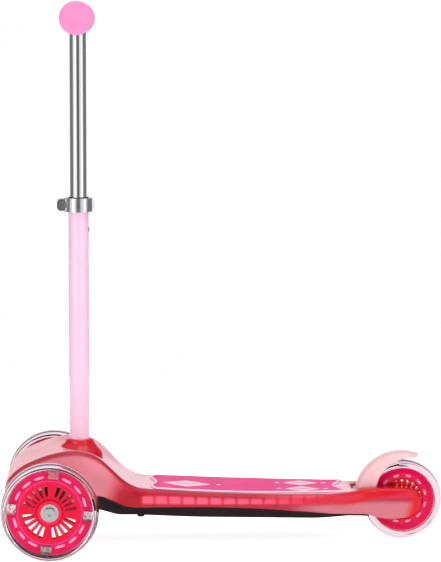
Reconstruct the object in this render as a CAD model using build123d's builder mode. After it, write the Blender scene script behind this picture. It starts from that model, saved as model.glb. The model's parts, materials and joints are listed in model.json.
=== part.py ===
from build123d import *
import os
from math import atan2, cos, degrees, radians, sin

# A child's three-wheeled kick scooter that steers by leaning.  Millimetres.  +Z is up, the scooter
# faces -X, and -Y is its left side.  The origin is on the floor, in the middle of the scooter.

os.makedirs("parts", exist_ok=True)

# ---------------------------------------------------------------- driving dimensions
WHEELBASE = 445.0
TRACK = 236.0               # between the middle planes of the two front wheels
FRONT_WHEEL_D = 120.0
FRONT_WHEEL_W = 26.0
REAR_WHEEL_D = 100.0
REAR_WHEEL_W = 24.0
BAR_HEIGHT = 658.0          # handlebar centre line above the floor
BAR_LENGTH = 264.0          # over both grips
STEM_SETBACK = 35.0         # stem axis behind the front axle

# fits
RUN_FIT = 0.05              # radial clearance of a shaft that turns or slides
LOOSE_FIT = 0.15            # radial clearance of a bolt in its hole
FACE_GAP = 0.3              # between faces that move past each other

# nose and deck shell, measured from the front axle
NOSE_FRONT = -58.0
NOSE_TOP = 125.0
NOSE_TOP_X = 26.0
NOSE_LIP_Z = 63.0
NOSE_HALF_W = 66.0
NECK_HALF_W = 53.0
DECK_HALF_W = 58.0
DECK_FRONT_X = 120.0
DECK_FRONT_Z = 73.5
DECK_MID_Z = 67.4
DECK_REAR_X = 373.0
DECK_REAR_Z = 66.0
SHELL_WALL = 3.0
RIB_PITCH = 17.0
RIB_COUNT = 14
RIB_T = 2.0
RIB_BOTTOM = 56.5
RIB_TOP = 77.0              # buried in the deck's top
FORK_HALF_W = 30.0
FORK_END = 23.0             # beyond the rear axle
FORK_BOTTOM = 29.0
FORK_TOP = 68.5

# black underside tray
BASE_INSET = 8.0
BASE_WALL = 3.0
BASE_FLANGE = 2.5
BASE_FRONT_X = 47.0
BASE_REAR_X = 400.0
BASE_BOTTOM_FRONT = 50.0
BASE_BOTTOM_MID = 38.5
BASE_BOTTOM_REAR = 34.0

# grip pad
PAD_FRONT_X = 124.0
PAD_REAR_X = 372.0
PAD_HALF_W = 47.0
PAD_T = 1.6

# stem
LOWER_TUBE_D = 25.4
LOWER_TUBE_WALL = 1.5
LOWER_TUBE_BOTTOM = 98.0
LOWER_TUBE_TOP = 433.0
TUBE_STEP = 4.4             # the lower tube's wall and the bushing, on both sides of the upper tube
UPPER_TUBE_D = LOWER_TUBE_D - TUBE_STEP
UPPER_TUBE_WALL = 1.5
UPPER_TUBE_BOTTOM = 298.0
SOCKET_D = 34.0
SOCKET_TOP = 128.0
SOCKET_FLOOR = 4.0
COLLAR_TOP = 130.0
COLLAR_TOP_D = 33.0
CLAMP_WALL = 4.8
CLAMP_D = LOWER_TUBE_D + 2 * CLAMP_WALL
CLAMP_H = 17.0
CLAMP_SLIT = 2.4
CLAMP_EAR_T = 5.3
CLAMP_EAR_REACH = 14.0
BUSHING_LIP = 2.5
BUSHING_LENGTH = 52.0
LEVER_H = 10.0
LEVER_T = 3.4
LEVER_SWEEP = 128.0         # degrees that the lever wraps round the stem
CROSSBAR_D = 19.0
GRIP_D = 29.0
GRIP_LENGTH = 104.0
GRIP_END_D = 41.0
GRIP_END_T = 6.0

# steering gear
KINGPIN_RAKE = 35.0         # degrees that the kingpins lean forward at the top
KINGPIN_Y = 38.0
KINGPIN_D = 8.0
BARREL_D = 20.0
BARREL_L = 20.0
BUSH_FLANGE = 1.0
EAR_T = 5.0
ARM_BOSS_D = 18.0
TIE_REACH = 26.0            # kingpin to tie rod pin
TIE_PIN_D = 5.0
TIE_SLOT_EXTRA = 2.6
LUG_T = 5.0
TIE_ROD_T = 4.0
SPRING_REACH = 36.0         # kingpin line to centring springs
SPRING_D = 8.0
SPRING_WIRE = 1.2
SPRING_TURNS = 6
SPRING_POST = 4.0
SPRING_SPAN = 18.5

# wheels
AXLE_D = 8.0
BEARING_D = 22.0
BEARING_W = 7.0
HUB_W = 20.0
AXLE_HEAD_D = 13.0
AXLE_HEAD_T = 4.0
FRONT_HUB_D = 104.0
REAR_HUB_D = 80.0
LIGHT_COUNT = 4
LIGHT_W = 13.0
LIGHT_INNER_R = 41.5
WHEEL_PHASE = -6.0          # degrees that the front wheels stand turned
SLOT_COUNT = 12
FIN_COUNT = 20

# brake
FENDER_R = 61.5
FENDER_T = 3.0
FENDER_HALF_W = 15.0
FENDER_SKIRT_T = 2.0
FENDER_PIVOT = (385.0, 61.0)
FENDER_PIN_D = 4.0
FENDER_START = 166.0        # degrees round the rear axle, from straight back
FENDER_TIP = 70.0
BRAKE_SHOE_R = 53.2

# screws
SCREW_D = 4.0
SCREW_HEAD_D = 7.5
SCREW_HEAD_T = 2.6
BOSS_D = 9.0

# ---------------------------------------------------------------- places that follow from them
FRONT_AXLE_X = -(WHEELBASE + REAR_WHEEL_D / 2 - FRONT_WHEEL_D / 2) / 2
REAR_AXLE_X = FRONT_AXLE_X + WHEELBASE
FRONT_AXLE_Z = FRONT_WHEEL_D / 2
REAR_AXLE_Z = REAR_WHEEL_D / 2
STEM_X = FRONT_AXLE_X + STEM_SETBACK
SIDES = {"left": -1, "right": 1}
RAKE = radians(KINGPIN_RAKE)
KINGPIN_UP = (-sin(RAKE), 0, cos(RAKE))
KINGPIN_BACK = (cos(RAKE), 0, sin(RAKE))
WHEEL_INNER_Y = TRACK / 2 - HUB_W / 2
HUB_FACE_Y = TRACK / 2 + HUB_W / 2 + FACE_GAP
EAR_IN = BARREL_L / 2 + BUSH_FLANGE + FACE_GAP
EAR_OUT = EAR_IN + EAR_T
FORK_GAP = FENDER_HALF_W + 0.5
TIE_BOTTOM = LUG_T / 2 + FACE_GAP
PRONG_IN = 19.3
PRONG_OUT = 25.4


def at(x, z):
    """A point of a side profile, x behind the front axle and z above the floor."""
    return (FRONT_AXLE_X + x, z)


def save(piece, label):
    """Label a finished piece and write it as its own STEP file."""
    piece.part.label = label
    export_step(piece.part, "parts/" + label + ".step")


def wheel_plane(x, y, z):
    """The plane of a wheel: local x to the rear, local y up, normal to the left."""
    return Plane(origin=(x, y, z), x_dir=(1, 0, 0), z_dir=(0, -1, 0))


def axle_plane(x, y, z):
    """The plane that holds a wheel's axle: local x is the radius, local y runs along the axle."""
    return Plane(origin=(x, y, z), x_dir=(1, 0, 0), z_dir=(0, 0, 1))


def kingpin_plane(y):
    """Local x backwards and up across the kingpin, local y to the right, normal up the kingpin."""
    return Plane(origin=(FRONT_AXLE_X, y, FRONT_AXLE_Z), x_dir=KINGPIN_BACK, z_dir=KINGPIN_UP)


# ---------------------------------------------------------------- deck shell
def rounded(points, radii):
    """A path of straight runs through the points, each inner corner rounded by its own radius."""
    return FilletPolyline(*points, radius=radii)


def deck_top(rise=0.0):
    """The long shallow arc of the deck's top, from the foot of the nose to the fork."""
    mid = (DECK_FRONT_X + DECK_REAR_X) / 2
    return ThreePointArc(
        at(DECK_FRONT_X, DECK_FRONT_Z + rise),
        at(mid, DECK_MID_Z + rise),
        at(DECK_REAR_X, DECK_REAR_Z + rise),
    )


def nose_curve(inset=0.0):
    """Side view of the nose's top, from its front lip over the dome and down to the deck."""
    return rounded(
        [
            at(NOSE_FRONT - 4 + inset, NOSE_LIP_Z + 3),
            at(-42 + inset * 0.8, 107 - inset * 0.8),
            at(NOSE_TOP_X, NOSE_TOP + 4.5 - inset),
            at(58 - inset * 0.7, 120 - inset * 1.1),
            at(90 - inset * 0.6, 80 - inset * 0.9),
            at(DECK_FRONT_X, DECK_FRONT_Z - inset),
        ],
        [35, 66, 30 - inset, 32],
    )


def parting_line(drop=0.0):
    """The edge where the shell stops and the black tray starts, nose to fork."""
    return rounded(
        [
            at(BASE_FRONT_X, NOSE_LIP_Z + 5 - drop),
            at(62, NOSE_LIP_Z + 4 - drop),
            at(97, 50 - drop),
            at(214, 51 - drop),
            at(310, 45.5 - drop),
            at(BASE_REAR_X, BASE_BOTTOM_REAR + 1.5 - drop),
        ],
        [25, 50, 300, 300],
    )


def plan_prism(inset, rear):
    """An upright prism with the deck's plan, inset all round and cut off square at the rear."""
    with BuildPart() as prism:
        with BuildSketch(Plane.XY):
            with BuildLine():
                edge = rounded(
                    [
                        (FRONT_AXLE_X + NOSE_FRONT + inset, 0),
                        (FRONT_AXLE_X + NOSE_FRONT + inset, 38 - inset * 0.4),
                        (FRONT_AXLE_X - 34 + inset * 0.4, NOSE_HALF_W - inset),
                        (FRONT_AXLE_X + 42, NOSE_HALF_W + 1 - inset),
                        (FRONT_AXLE_X + 100, NECK_HALF_W - 1 - inset),
                        (FRONT_AXLE_X + 190, DECK_HALF_W + 1 - inset),
                        (FRONT_AXLE_X + 335, DECK_HALF_W - inset),
                        (REAR_AXLE_X - 48, FORK_HALF_W + 1 - inset),
                        (rear, FORK_HALF_W - 1 - inset),
                    ],
                    [30, 25, 60, 90, 200, 60, 40],
                )
                Polyline(edge @ 1, (rear, 0), edge @ 0)
            make_face()
            mirror(about=Plane.XZ)
        extrude(amount=BAR_HEIGHT, both=True)
    return prism.part


with BuildPart() as deck_outer:
    with BuildSketch(Plane.XZ):
        with BuildLine():
            nose_line = nose_curve()
            deck_top()
            part_line = parting_line()
            rounded(
                [
                    at(DECK_REAR_X, DECK_REAR_Z),
                    at(WHEELBASE - 12, FORK_TOP + 1),
                    at(WHEELBASE + FORK_END + 1, FORK_TOP),
                    at(WHEELBASE + FORK_END - 1, FORK_BOTTOM + 6),
                    at(WHEELBASE - 2, FORK_BOTTOM - 1),
                    at(WHEELBASE - 28, FORK_BOTTOM - 0.5),
                    at(BASE_REAR_X, BASE_BOTTOM_REAR + 1.5),
                ],
                [120, 14, 12, 30, 30],
            )
            Polyline(part_line @ 0, at(NOSE_FRONT - 4, NOSE_LIP_Z), nose_line @ 0)
        make_face()
    extrude(amount=NOSE_HALF_W + 10, both=True)
    add(plan_prism(0, REAR_AXLE_X + FORK_END + 8), mode=Mode.INTERSECT)


def box_between(low, high, mode=Mode.ADD):
    """A box from its lowest to its highest corner."""
    size = [high[i] - low[i] for i in range(3)]
    middle = tuple((high[i] + low[i]) / 2 for i in range(3))
    with Locations(middle):
        Box(*size, mode=mode)


def posts(points, bottom, top, diameter, mode=Mode.ADD):
    """Upright round posts or holes at the given plan points."""
    with Locations([(x, y, bottom) for x, y in points]):
        Cylinder(diameter / 2, top - bottom, align=(Align.CENTER, Align.CENTER, Align.MIN), mode=mode)


FORK_REAR_X = REAR_AXLE_X + FORK_END + 8
WELL_FRONT_X = FRONT_AXLE_X + FENDER_PIVOT[0] - 6
PIVOT_X = FRONT_AXLE_X + FENDER_PIVOT[0]
PIVOT_Z = FENDER_PIVOT[1]
TRUCK_SCREWS = [(FRONT_AXLE_X + x, y) for x in (-36, -4) for y in (-22, 22)]
SOCKET_SCREWS = [(STEM_X + x, y) for x in (-15, 21) for y in (-24, 24)]
DECK_SCREWS = [(FRONT_AXLE_X + x, y) for x in (112, 232, 345) for y in (-33, 33)]
PRONG_FRONT_X = FRONT_AXLE_X + 388
PRONG_REAR_X = REAR_AXLE_X + 12
TRUCK_TOP = 84.0
SOCKET_BOTTOM = LOWER_TUBE_BOTTOM - SOCKET_FLOOR
BASE_POST_TOP = 56.0
PILOT_DEPTH = 18.0
HEAD_SEAT_Z = 41.0          # bottom of the counterbores that the deck screws' heads sit in
ARM_OPENING_R = 25.0
RIB_FRONT_X = FRONT_AXLE_X + 110

with BuildPart() as shell_inside:
    with BuildSketch(Plane.XZ):
        with BuildLine():
            inner_nose = nose_curve(SHELL_WALL)
            inner_deck = deck_top(-SHELL_WALL)
            Polyline(inner_deck @ 1, at(DECK_REAR_X, 0), at(NOSE_FRONT - 4 + SHELL_WALL, 0), inner_nose @ 0)
        make_face()
    extrude(amount=NOSE_HALF_W + 10, both=True)
    add(plan_prism(SHELL_WALL, FORK_REAR_X), mode=Mode.INTERSECT)

with BuildPart() as shell_bosses:
    posts(TRUCK_SCREWS, TRUCK_TOP + 4, NOSE_TOP, BOSS_D)
    posts(SOCKET_SCREWS, LOWER_TUBE_BOTTOM, NOSE_TOP, BOSS_D)
    posts(DECK_SCREWS, BASE_POST_TOP, NOSE_TOP, BOSS_D)
    for rib in range(RIB_COUNT):
        rib_x = RIB_FRONT_X + rib * RIB_PITCH
        for side in SIDES.values():
            rib_y = sorted((side * (DECK_HALF_W - 13), side * (DECK_HALF_W + 6)))
            box_between((rib_x, rib_y[0], RIB_BOTTOM), (rib_x + RIB_T, rib_y[1], RIB_TOP))
    add(deck_outer.part, mode=Mode.INTERSECT)

with BuildPart() as deck_shell:
    add(deck_outer.part)
    add(shell_inside.part, mode=Mode.SUBTRACT)
    add(shell_bosses.part)
    # wheel well between the fork arms, and the slots that the axle drops into from below
    box_between((WELL_FRONT_X, -FORK_GAP, 0), (FORK_REAR_X, FORK_GAP, 100), mode=Mode.SUBTRACT)
    for side in SIDES.values():
        slot_y = sorted((side * (PRONG_IN - FACE_GAP), side * (PRONG_OUT + FACE_GAP)))
        box_between(
            (PRONG_FRONT_X - 2, slot_y[0], 0),
            (PRONG_REAR_X + 2, slot_y[1], REAR_AXLE_Z),
            mode=Mode.SUBTRACT,
        )
    box_between(
        (REAR_AXLE_X - AXLE_D / 2 - LOOSE_FIT, -PRONG_OUT, 0),
        (REAR_AXLE_X + AXLE_D / 2 + LOOSE_FIT, PRONG_OUT, REAR_AXLE_Z),
        mode=Mode.SUBTRACT,
    )
    with BuildSketch(Plane.XZ):
        with Locations((REAR_AXLE_X, REAR_AXLE_Z)):
            Circle(AXLE_D / 2 + LOOSE_FIT)
        with Locations((PIVOT_X, PIVOT_Z)):
            Circle(FENDER_PIN_D / 2 + LOOSE_FIT)
    extrude(amount=PRONG_OUT + FACE_GAP, both=True, mode=Mode.SUBTRACT)
    # the tube's socket comes up through the nose, and the steering arms go out at its sides
    posts([(STEM_X, 0)], LOWER_TUBE_BOTTOM, NOSE_TOP + 5, SOCKET_D + 2 * LOOSE_FIT, mode=Mode.SUBTRACT)
    with BuildSketch(Plane.XZ):
        with Locations((FRONT_AXLE_X, FRONT_AXLE_Z - 4)):
            Circle(ARM_OPENING_R)
    extrude(amount=NOSE_HALF_W + 10, both=True, mode=Mode.SUBTRACT)
    for points, bottom in (
        (TRUCK_SCREWS, TRUCK_TOP),
        (SOCKET_SCREWS, LOWER_TUBE_BOTTOM),
        (DECK_SCREWS, BASE_POST_TOP - 6),
    ):
        posts(points, bottom, bottom + PILOT_DEPTH, SCREW_D + 2 * RUN_FIT, mode=Mode.SUBTRACT)
save(deck_shell, "deck_shell")


# ---------------------------------------------------------------- black tray under the deck
def base_bottom(rise=0.0):
    """Side view of the tray's underside, from under the nose to the fork."""
    return rounded(
        [
            at(BASE_FRONT_X, BASE_BOTTOM_FRONT + rise),
            at(60, BASE_BOTTOM_FRONT - 1 + rise),
            at(84, BASE_BOTTOM_MID + 2.5 + rise),
            at(160, BASE_BOTTOM_MID + rise),
            at(BASE_REAR_X, BASE_BOTTOM_REAR + rise),
        ],
        [20, 40, 200],
    )


def tray_slab(lower, upper, half_width):
    """A solid between two side-view lines, wide enough to be cut to a plan."""
    with BuildPart() as slab:
        with BuildSketch(Plane.XZ):
            with BuildLine():
                under = lower()
                over = upper()
                Line(under @ 0, over @ 0)
                Line(under @ 1, over @ 1)
            make_face()
        extrude(amount=half_width, both=True)
    return slab.part


with BuildPart() as tray_outside:
    add(tray_slab(base_bottom, parting_line, NOSE_HALF_W + 10))
    add(plan_prism(BASE_INSET, FORK_REAR_X), mode=Mode.INTERSECT)

with BuildPart() as tray_hollow:
    add(tray_slab(lambda: base_bottom(BASE_WALL), lambda: parting_line(-5), NOSE_HALF_W + 10))
    add(plan_prism(BASE_INSET + BASE_WALL, FORK_REAR_X), mode=Mode.INTERSECT)
    box_between((WELL_FRONT_X - 3, -60, 0), (FORK_REAR_X, 60, 100), mode=Mode.SUBTRACT)
    box_between((-400, -80, 0), (FRONT_AXLE_X + BASE_FRONT_X + 3, 80, 200), mode=Mode.SUBTRACT)

with BuildPart() as tray_flange:
    add(tray_slab(lambda: parting_line(BASE_FLANGE), parting_line, NOSE_HALF_W + 10))
    add(plan_prism(1.0, FORK_REAR_X), mode=Mode.INTERSECT)

with BuildPart() as tray_posts:
    posts(DECK_SCREWS, 20, BASE_POST_TOP, BOSS_D)
    box_between((-400, -80, 0), (400, 80, BASE_BOTTOM_REAR + 2), mode=Mode.SUBTRACT)

with BuildPart() as deck_base:
    add(tray_flange.part)
    add(tray_outside.part)
    add(tray_hollow.part, mode=Mode.SUBTRACT)
    add(tray_posts.part)
    for side in SIDES.values():
        prong_y = sorted((side * PRONG_IN, side * PRONG_OUT))
        box_between(
            (PRONG_FRONT_X, prong_y[0], BASE_BOTTOM_REAR),
            (PRONG_REAR_X, prong_y[1], REAR_AXLE_Z - FACE_GAP),
        )
    box_between((WELL_FRONT_X + 12, -FORK_GAP, 0), (FORK_REAR_X, FORK_GAP, 100), mode=Mode.SUBTRACT)
    with BuildSketch(Plane.XZ):
        with Locations((REAR_AXLE_X, REAR_AXLE_Z)):
            Circle(AXLE_D / 2 + LOOSE_FIT)
    extrude(amount=PRONG_OUT + 1, both=True, mode=Mode.SUBTRACT)
    posts(DECK_SCREWS, 20, BASE_POST_TOP + 1, SCREW_D + 2 * LOOSE_FIT, mode=Mode.SUBTRACT)
    posts(DECK_SCREWS, 20, HEAD_SEAT_Z, SCREW_HEAD_D + 2 * LOOSE_FIT, mode=Mode.SUBTRACT)
save(deck_base, "deck_base")


def screw(points, head_bottom, length):
    """Upright pan-head screws driven from below."""
    with BuildPart() as screws:
        posts(points, head_bottom, head_bottom + SCREW_HEAD_T, SCREW_HEAD_D)
        posts(points, head_bottom + SCREW_HEAD_T, head_bottom + SCREW_HEAD_T + length, SCREW_D)
    return screws


save(screw(DECK_SCREWS, HEAD_SEAT_Z - SCREW_HEAD_T, 24), "deck_screws")

# ---------------------------------------------------------------- grip pad
with BuildPart() as grip_pad:
    with BuildSketch(Plane.XZ):
        with BuildLine():
            pad_low = deck_top(0.1)
            pad_high = deck_top(0.1 + PAD_T)
            Line(pad_low @ 0, pad_high @ 0)
            Line(pad_low @ 1, pad_high @ 1)
        make_face()
    extrude(amount=PAD_HALF_W, both=True)
    with BuildPart(mode=Mode.PRIVATE) as pad_plan:
        with BuildSketch(Plane.XY):
            with BuildLine():
                pad_edge = Polyline(
                    (FRONT_AXLE_X + PAD_FRONT_X + 8, 0),
                    (FRONT_AXLE_X + PAD_FRONT_X + 3, PAD_HALF_W * 0.25),
                    (FRONT_AXLE_X + PAD_FRONT_X + 8, PAD_HALF_W * 0.5),
                    (FRONT_AXLE_X + PAD_FRONT_X, PAD_HALF_W * 0.85),
                    (FRONT_AXLE_X + PAD_FRONT_X + 6, PAD_HALF_W - 3),
                )
                pad_side = ThreePointArc(
                    pad_edge @ 1,
                    (FRONT_AXLE_X + 240, PAD_HALF_W),
                    (FRONT_AXLE_X + PAD_REAR_X - 12, PAD_HALF_W - 8),
                )
                pad_back = Polyline(
                    pad_side @ 1,
                    (FRONT_AXLE_X + PAD_REAR_X - 1, PAD_HALF_W - 12),
                    (FRONT_AXLE_X + PAD_REAR_X - 8, PAD_HALF_W * 0.45),
                    (FRONT_AXLE_X + PAD_REAR_X - 2, 0),
                )
                Line(pad_back @ 1, pad_edge @ 0)
            make_face()
            mirror(about=Plane.XZ)
        extrude(amount=BAR_HEIGHT, both=True)
    add(pad_plan.part, mode=Mode.INTERSECT)
save(grip_pad, "grip_pad")

# ---------------------------------------------------------------- stem socket and its collar
with BuildPart() as stem_socket:
    with BuildSketch(Plane.XY.offset(SOCKET_BOTTOM)):
        with Locations((STEM_X + 3, 0)):
            RectangleRounded(50, 60, 7)
    extrude(amount=SOCKET_FLOOR)
    posts([(STEM_X, 0)], SOCKET_BOTTOM, SOCKET_TOP, SOCKET_D)
    posts([(STEM_X, 0)], LOWER_TUBE_BOTTOM, SOCKET_TOP, LOWER_TUBE_D + 2 * RUN_FIT, mode=Mode.SUBTRACT)
    posts(SOCKET_SCREWS + [(STEM_X, 0)], 80, SOCKET_TOP, SCREW_D + 2 * LOOSE_FIT, mode=Mode.SUBTRACT)
save(stem_socket, "stem_socket")
save(screw(SOCKET_SCREWS, SOCKET_BOTTOM - SCREW_HEAD_T, 16), "socket_screws")

with BuildPart() as stem_collar:
    with BuildSketch(Plane.XY.offset(COLLAR_TOP)):
        with Locations((STEM_X + 0.5, 0)):
            Circle(COLLAR_TOP_D / 2)
    with BuildSketch(Plane.XY.offset(COLLAR_TOP - 22)):
        with Locations((STEM_X - 1, 0)):
            Ellipse(31.5, 27)
    loft()
    add(deck_outer.part, mode=Mode.SUBTRACT)
    posts([(STEM_X, 0)], 90, SOCKET_TOP + 0.3, SOCKET_D + 2 * LOOSE_FIT, mode=Mode.SUBTRACT)
    posts([(STEM_X, 0)], 90, COLLAR_TOP + 1, LOWER_TUBE_D + 2 * LOOSE_FIT, mode=Mode.SUBTRACT)
save(stem_collar, "stem_collar")

# ---------------------------------------------------------------- lower tube and what is in it
LOWER_BORE = LOWER_TUBE_D - 2 * LOWER_TUBE_WALL
NUB_Z = 395.0               # the bushing's locating nub, in a hole in the tube's back
SLIT_BOTTOM = LOWER_TUBE_TOP - 30
with BuildPart() as lower_tube:
    posts([(STEM_X, 0)], LOWER_TUBE_BOTTOM, LOWER_TUBE_TOP, LOWER_TUBE_D)
    posts([(STEM_X, 0)], LOWER_TUBE_BOTTOM, LOWER_TUBE_TOP, LOWER_BORE, mode=Mode.SUBTRACT)
    box_between(
        (STEM_X - LOWER_TUBE_D, -CLAMP_SLIT / 2, SLIT_BOTTOM),
        (STEM_X, CLAMP_SLIT / 2, LOWER_TUBE_TOP + 1),
        mode=Mode.SUBTRACT,
    )
    with Locations(Plane(origin=(STEM_X + LOWER_TUBE_D / 2, 0, NUB_Z), z_dir=(1, 0, 0))):
        Cylinder(3, 8, mode=Mode.SUBTRACT)
save(lower_tube, "lower_tube")

with BuildPart() as tube_bushing:
    posts([(STEM_X, 0)], LOWER_TUBE_TOP - BUSHING_LENGTH, LOWER_TUBE_TOP, LOWER_BORE - 2 * RUN_FIT)
    posts([(STEM_X, 0)], LOWER_TUBE_TOP, LOWER_TUBE_TOP + BUSHING_LIP, LOWER_TUBE_D)
    with Locations(Plane(origin=(STEM_X + LOWER_TUBE_D / 2 - 1.2, 0, NUB_Z), z_dir=(1, 0, 0))):
        Cylinder(2.8, 3.2)
    posts([(STEM_X, 0)], 300, LOWER_TUBE_TOP + 5, UPPER_TUBE_D + 2 * RUN_FIT, mode=Mode.SUBTRACT)
    box_between(
        (STEM_X - LOWER_TUBE_D, -CLAMP_SLIT / 2, SLIT_BOTTOM),
        (STEM_X, CLAMP_SLIT / 2, LOWER_TUBE_TOP + 5),
        mode=Mode.SUBTRACT,
    )
save(tube_bushing, "tube_bushing")

STEM_PLUG_TOP = LOWER_TUBE_BOTTOM + 14
with BuildPart() as stem_plug:
    posts([(STEM_X, 0)], LOWER_TUBE_BOTTOM, STEM_PLUG_TOP, LOWER_BORE - 2 * RUN_FIT)
    posts([(STEM_X, 0)], LOWER_TUBE_BOTTOM, STEM_PLUG_TOP, SCREW_D + 2 * RUN_FIT, mode=Mode.SUBTRACT)
save(stem_plug, "stem_plug")
save(screw([(STEM_X, 0)], SOCKET_BOTTOM - SCREW_HEAD_T, 16), "stem_bolt")

# ---------------------------------------------------------------- height clamp
CLAMP_BOTTOM = LOWER_TUBE_TOP - CLAMP_H + 1.5
CLAMP_TOP = CLAMP_BOTTOM + CLAMP_H
CLAMP_MID = CLAMP_BOTTOM + CLAMP_H / 2
BOLT_X = STEM_X - LOWER_TUBE_D / 2 - 8.6
EAR_OUTER_Y = CLAMP_SLIT / 2 + CLAMP_EAR_T
CAM_R = 5.0
CAM_PIN_D = 4.0
BOLT_D = 5.0
BOLT_EYE_H = 5.4
CAM_Y = EAR_OUTER_Y + 0.5 + CAM_R
with BuildPart() as clamp_band:
    posts([(STEM_X, 0)], CLAMP_BOTTOM, CLAMP_TOP, CLAMP_D)
    box_between(
        (STEM_X - LOWER_TUBE_D / 2 - CLAMP_EAR_REACH, -EAR_OUTER_Y, CLAMP_BOTTOM + 1),
        (STEM_X - LOWER_TUBE_D / 2 + 2, EAR_OUTER_Y, CLAMP_TOP - 1),
    )
    ear_edges = clamp_band.edges().filter_by(Axis.Y).group_by(Axis.X)[0]
    fillet(ear_edges, 5)
    posts([(STEM_X, 0)], CLAMP_BOTTOM, CLAMP_TOP, LOWER_TUBE_D + 2 * RUN_FIT, mode=Mode.SUBTRACT)
    box_between(
        (STEM_X - 2 * CLAMP_D, -CLAMP_SLIT / 2, CLAMP_BOTTOM),
        (STEM_X, CLAMP_SLIT / 2, CLAMP_TOP),
        mode=Mode.SUBTRACT,
    )
    with Locations(Plane(origin=(BOLT_X, 0, CLAMP_MID), z_dir=(0, 1, 0))):
        Cylinder(BOLT_D / 2 + LOOSE_FIT, 40, mode=Mode.SUBTRACT)
save(clamp_band, "clamp_band")

# the bolt's far end carries the cam pin, its near end the nut
with BuildPart() as clamp_bolt:
    with Locations(Plane(origin=(BOLT_X, (CAM_Y - EAR_OUTER_Y - 5) / 2, CLAMP_MID), z_dir=(0, 1, 0))):
        Cylinder(BOLT_D / 2, CAM_Y + EAR_OUTER_Y + 5)
    with Locations((BOLT_X, CAM_Y, CLAMP_MID)):
        Cylinder(3.2, BOLT_EYE_H)
        Cylinder(CAM_PIN_D / 2 + RUN_FIT, 12, mode=Mode.SUBTRACT)
save(clamp_bolt, "clamp_bolt")

with BuildPart() as clamp_nut:
    with BuildSketch(Plane.XZ.offset(EAR_OUTER_Y)):
        with Locations((BOLT_X, CLAMP_MID)):
            RegularPolygon(4.6, 6)
            Circle(BOLT_D / 2 + RUN_FIT, mode=Mode.SUBTRACT)
    extrude(amount=4)
save(clamp_nut, "clamp_nut")

with BuildPart() as clamp_pin:
    with Locations((BOLT_X, CAM_Y, CLAMP_MID)):
        Cylinder(CAM_PIN_D / 2, 14)
save(clamp_pin, "clamp_pin")

ARM_R = CLAMP_D / 2 + 1.5
with BuildPart() as clamp_lever:
    with BuildSketch(Plane.XY.offset(CLAMP_MID - 6)):
        with Locations((BOLT_X, CAM_Y)):
            Circle(CAM_R)
    extrude(amount=12)
    with BuildSketch(Plane.XY.offset(CLAMP_MID - LEVER_H / 2)):
        with BuildLine():
            start = degrees(atan2(CAM_Y, BOLT_X - STEM_X))
            inner = CenterArc((STEM_X, 0), ARM_R, start - LEVER_SWEEP, LEVER_SWEEP - 9)
            outer = CenterArc((STEM_X, 0), ARM_R + LEVER_T, start - LEVER_SWEEP, LEVER_SWEEP - 9)
            Line(inner @ 0, outer @ 0)
            Line(inner @ 1, outer @ 1)
        make_face()
    extrude(amount=LEVER_H)
    box_between(
        (BOLT_X, CAM_Y - 1, CLAMP_MID - LEVER_H / 2),
        (BOLT_X + 9, CAM_Y + 4.5, CLAMP_MID + LEVER_H / 2),
    )
    # the fork that lets the cam swing round the bolt
    box_between(
        (BOLT_X - 9, CAM_Y - 9, CLAMP_MID - BOLT_EYE_H / 2 - FACE_GAP),
        (BOLT_X + 3.6, CAM_Y + 4.6, CLAMP_MID + BOLT_EYE_H / 2 + FACE_GAP),
        mode=Mode.SUBTRACT,
    )
    with Locations((BOLT_X, CAM_Y, CLAMP_MID)):
        Cylinder(CAM_PIN_D / 2 + RUN_FIT, 20, mode=Mode.SUBTRACT)
    with Locations((STEM_X, 0, CLAMP_MID)):
        Cylinder(CLAMP_D / 2 + 0.5, 20, mode=Mode.SUBTRACT)
save(clamp_lever, "clamp_lever")

# ---------------------------------------------------------------- upper tube, crossbar and grips
with BuildPart() as upper_tube:
    posts([(STEM_X, 0)], UPPER_TUBE_BOTTOM, BAR_HEIGHT, UPPER_TUBE_D)
    upper_bore = UPPER_TUBE_D - 2 * UPPER_TUBE_WALL
    posts([(STEM_X, 0)], UPPER_TUBE_BOTTOM, BAR_HEIGHT, upper_bore, mode=Mode.SUBTRACT)
    with Locations(Plane(origin=(STEM_X, 0, BAR_HEIGHT), z_dir=(0, 1, 0))):
        Cylinder(CROSSBAR_D / 2, 100, mode=Mode.SUBTRACT)
save(upper_tube, "upper_tube")

CROSSBAR_WALL = 1.5
with BuildPart() as crossbar:
    with BuildSketch(Plane.XZ):
        with Locations((STEM_X, BAR_HEIGHT)):
            Circle(CROSSBAR_D / 2)
            Circle(CROSSBAR_D / 2 - CROSSBAR_WALL, mode=Mode.SUBTRACT)
    extrude(amount=BAR_LENGTH / 2 - GRIP_END_T, both=True)
save(crossbar, "crossbar")

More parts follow.
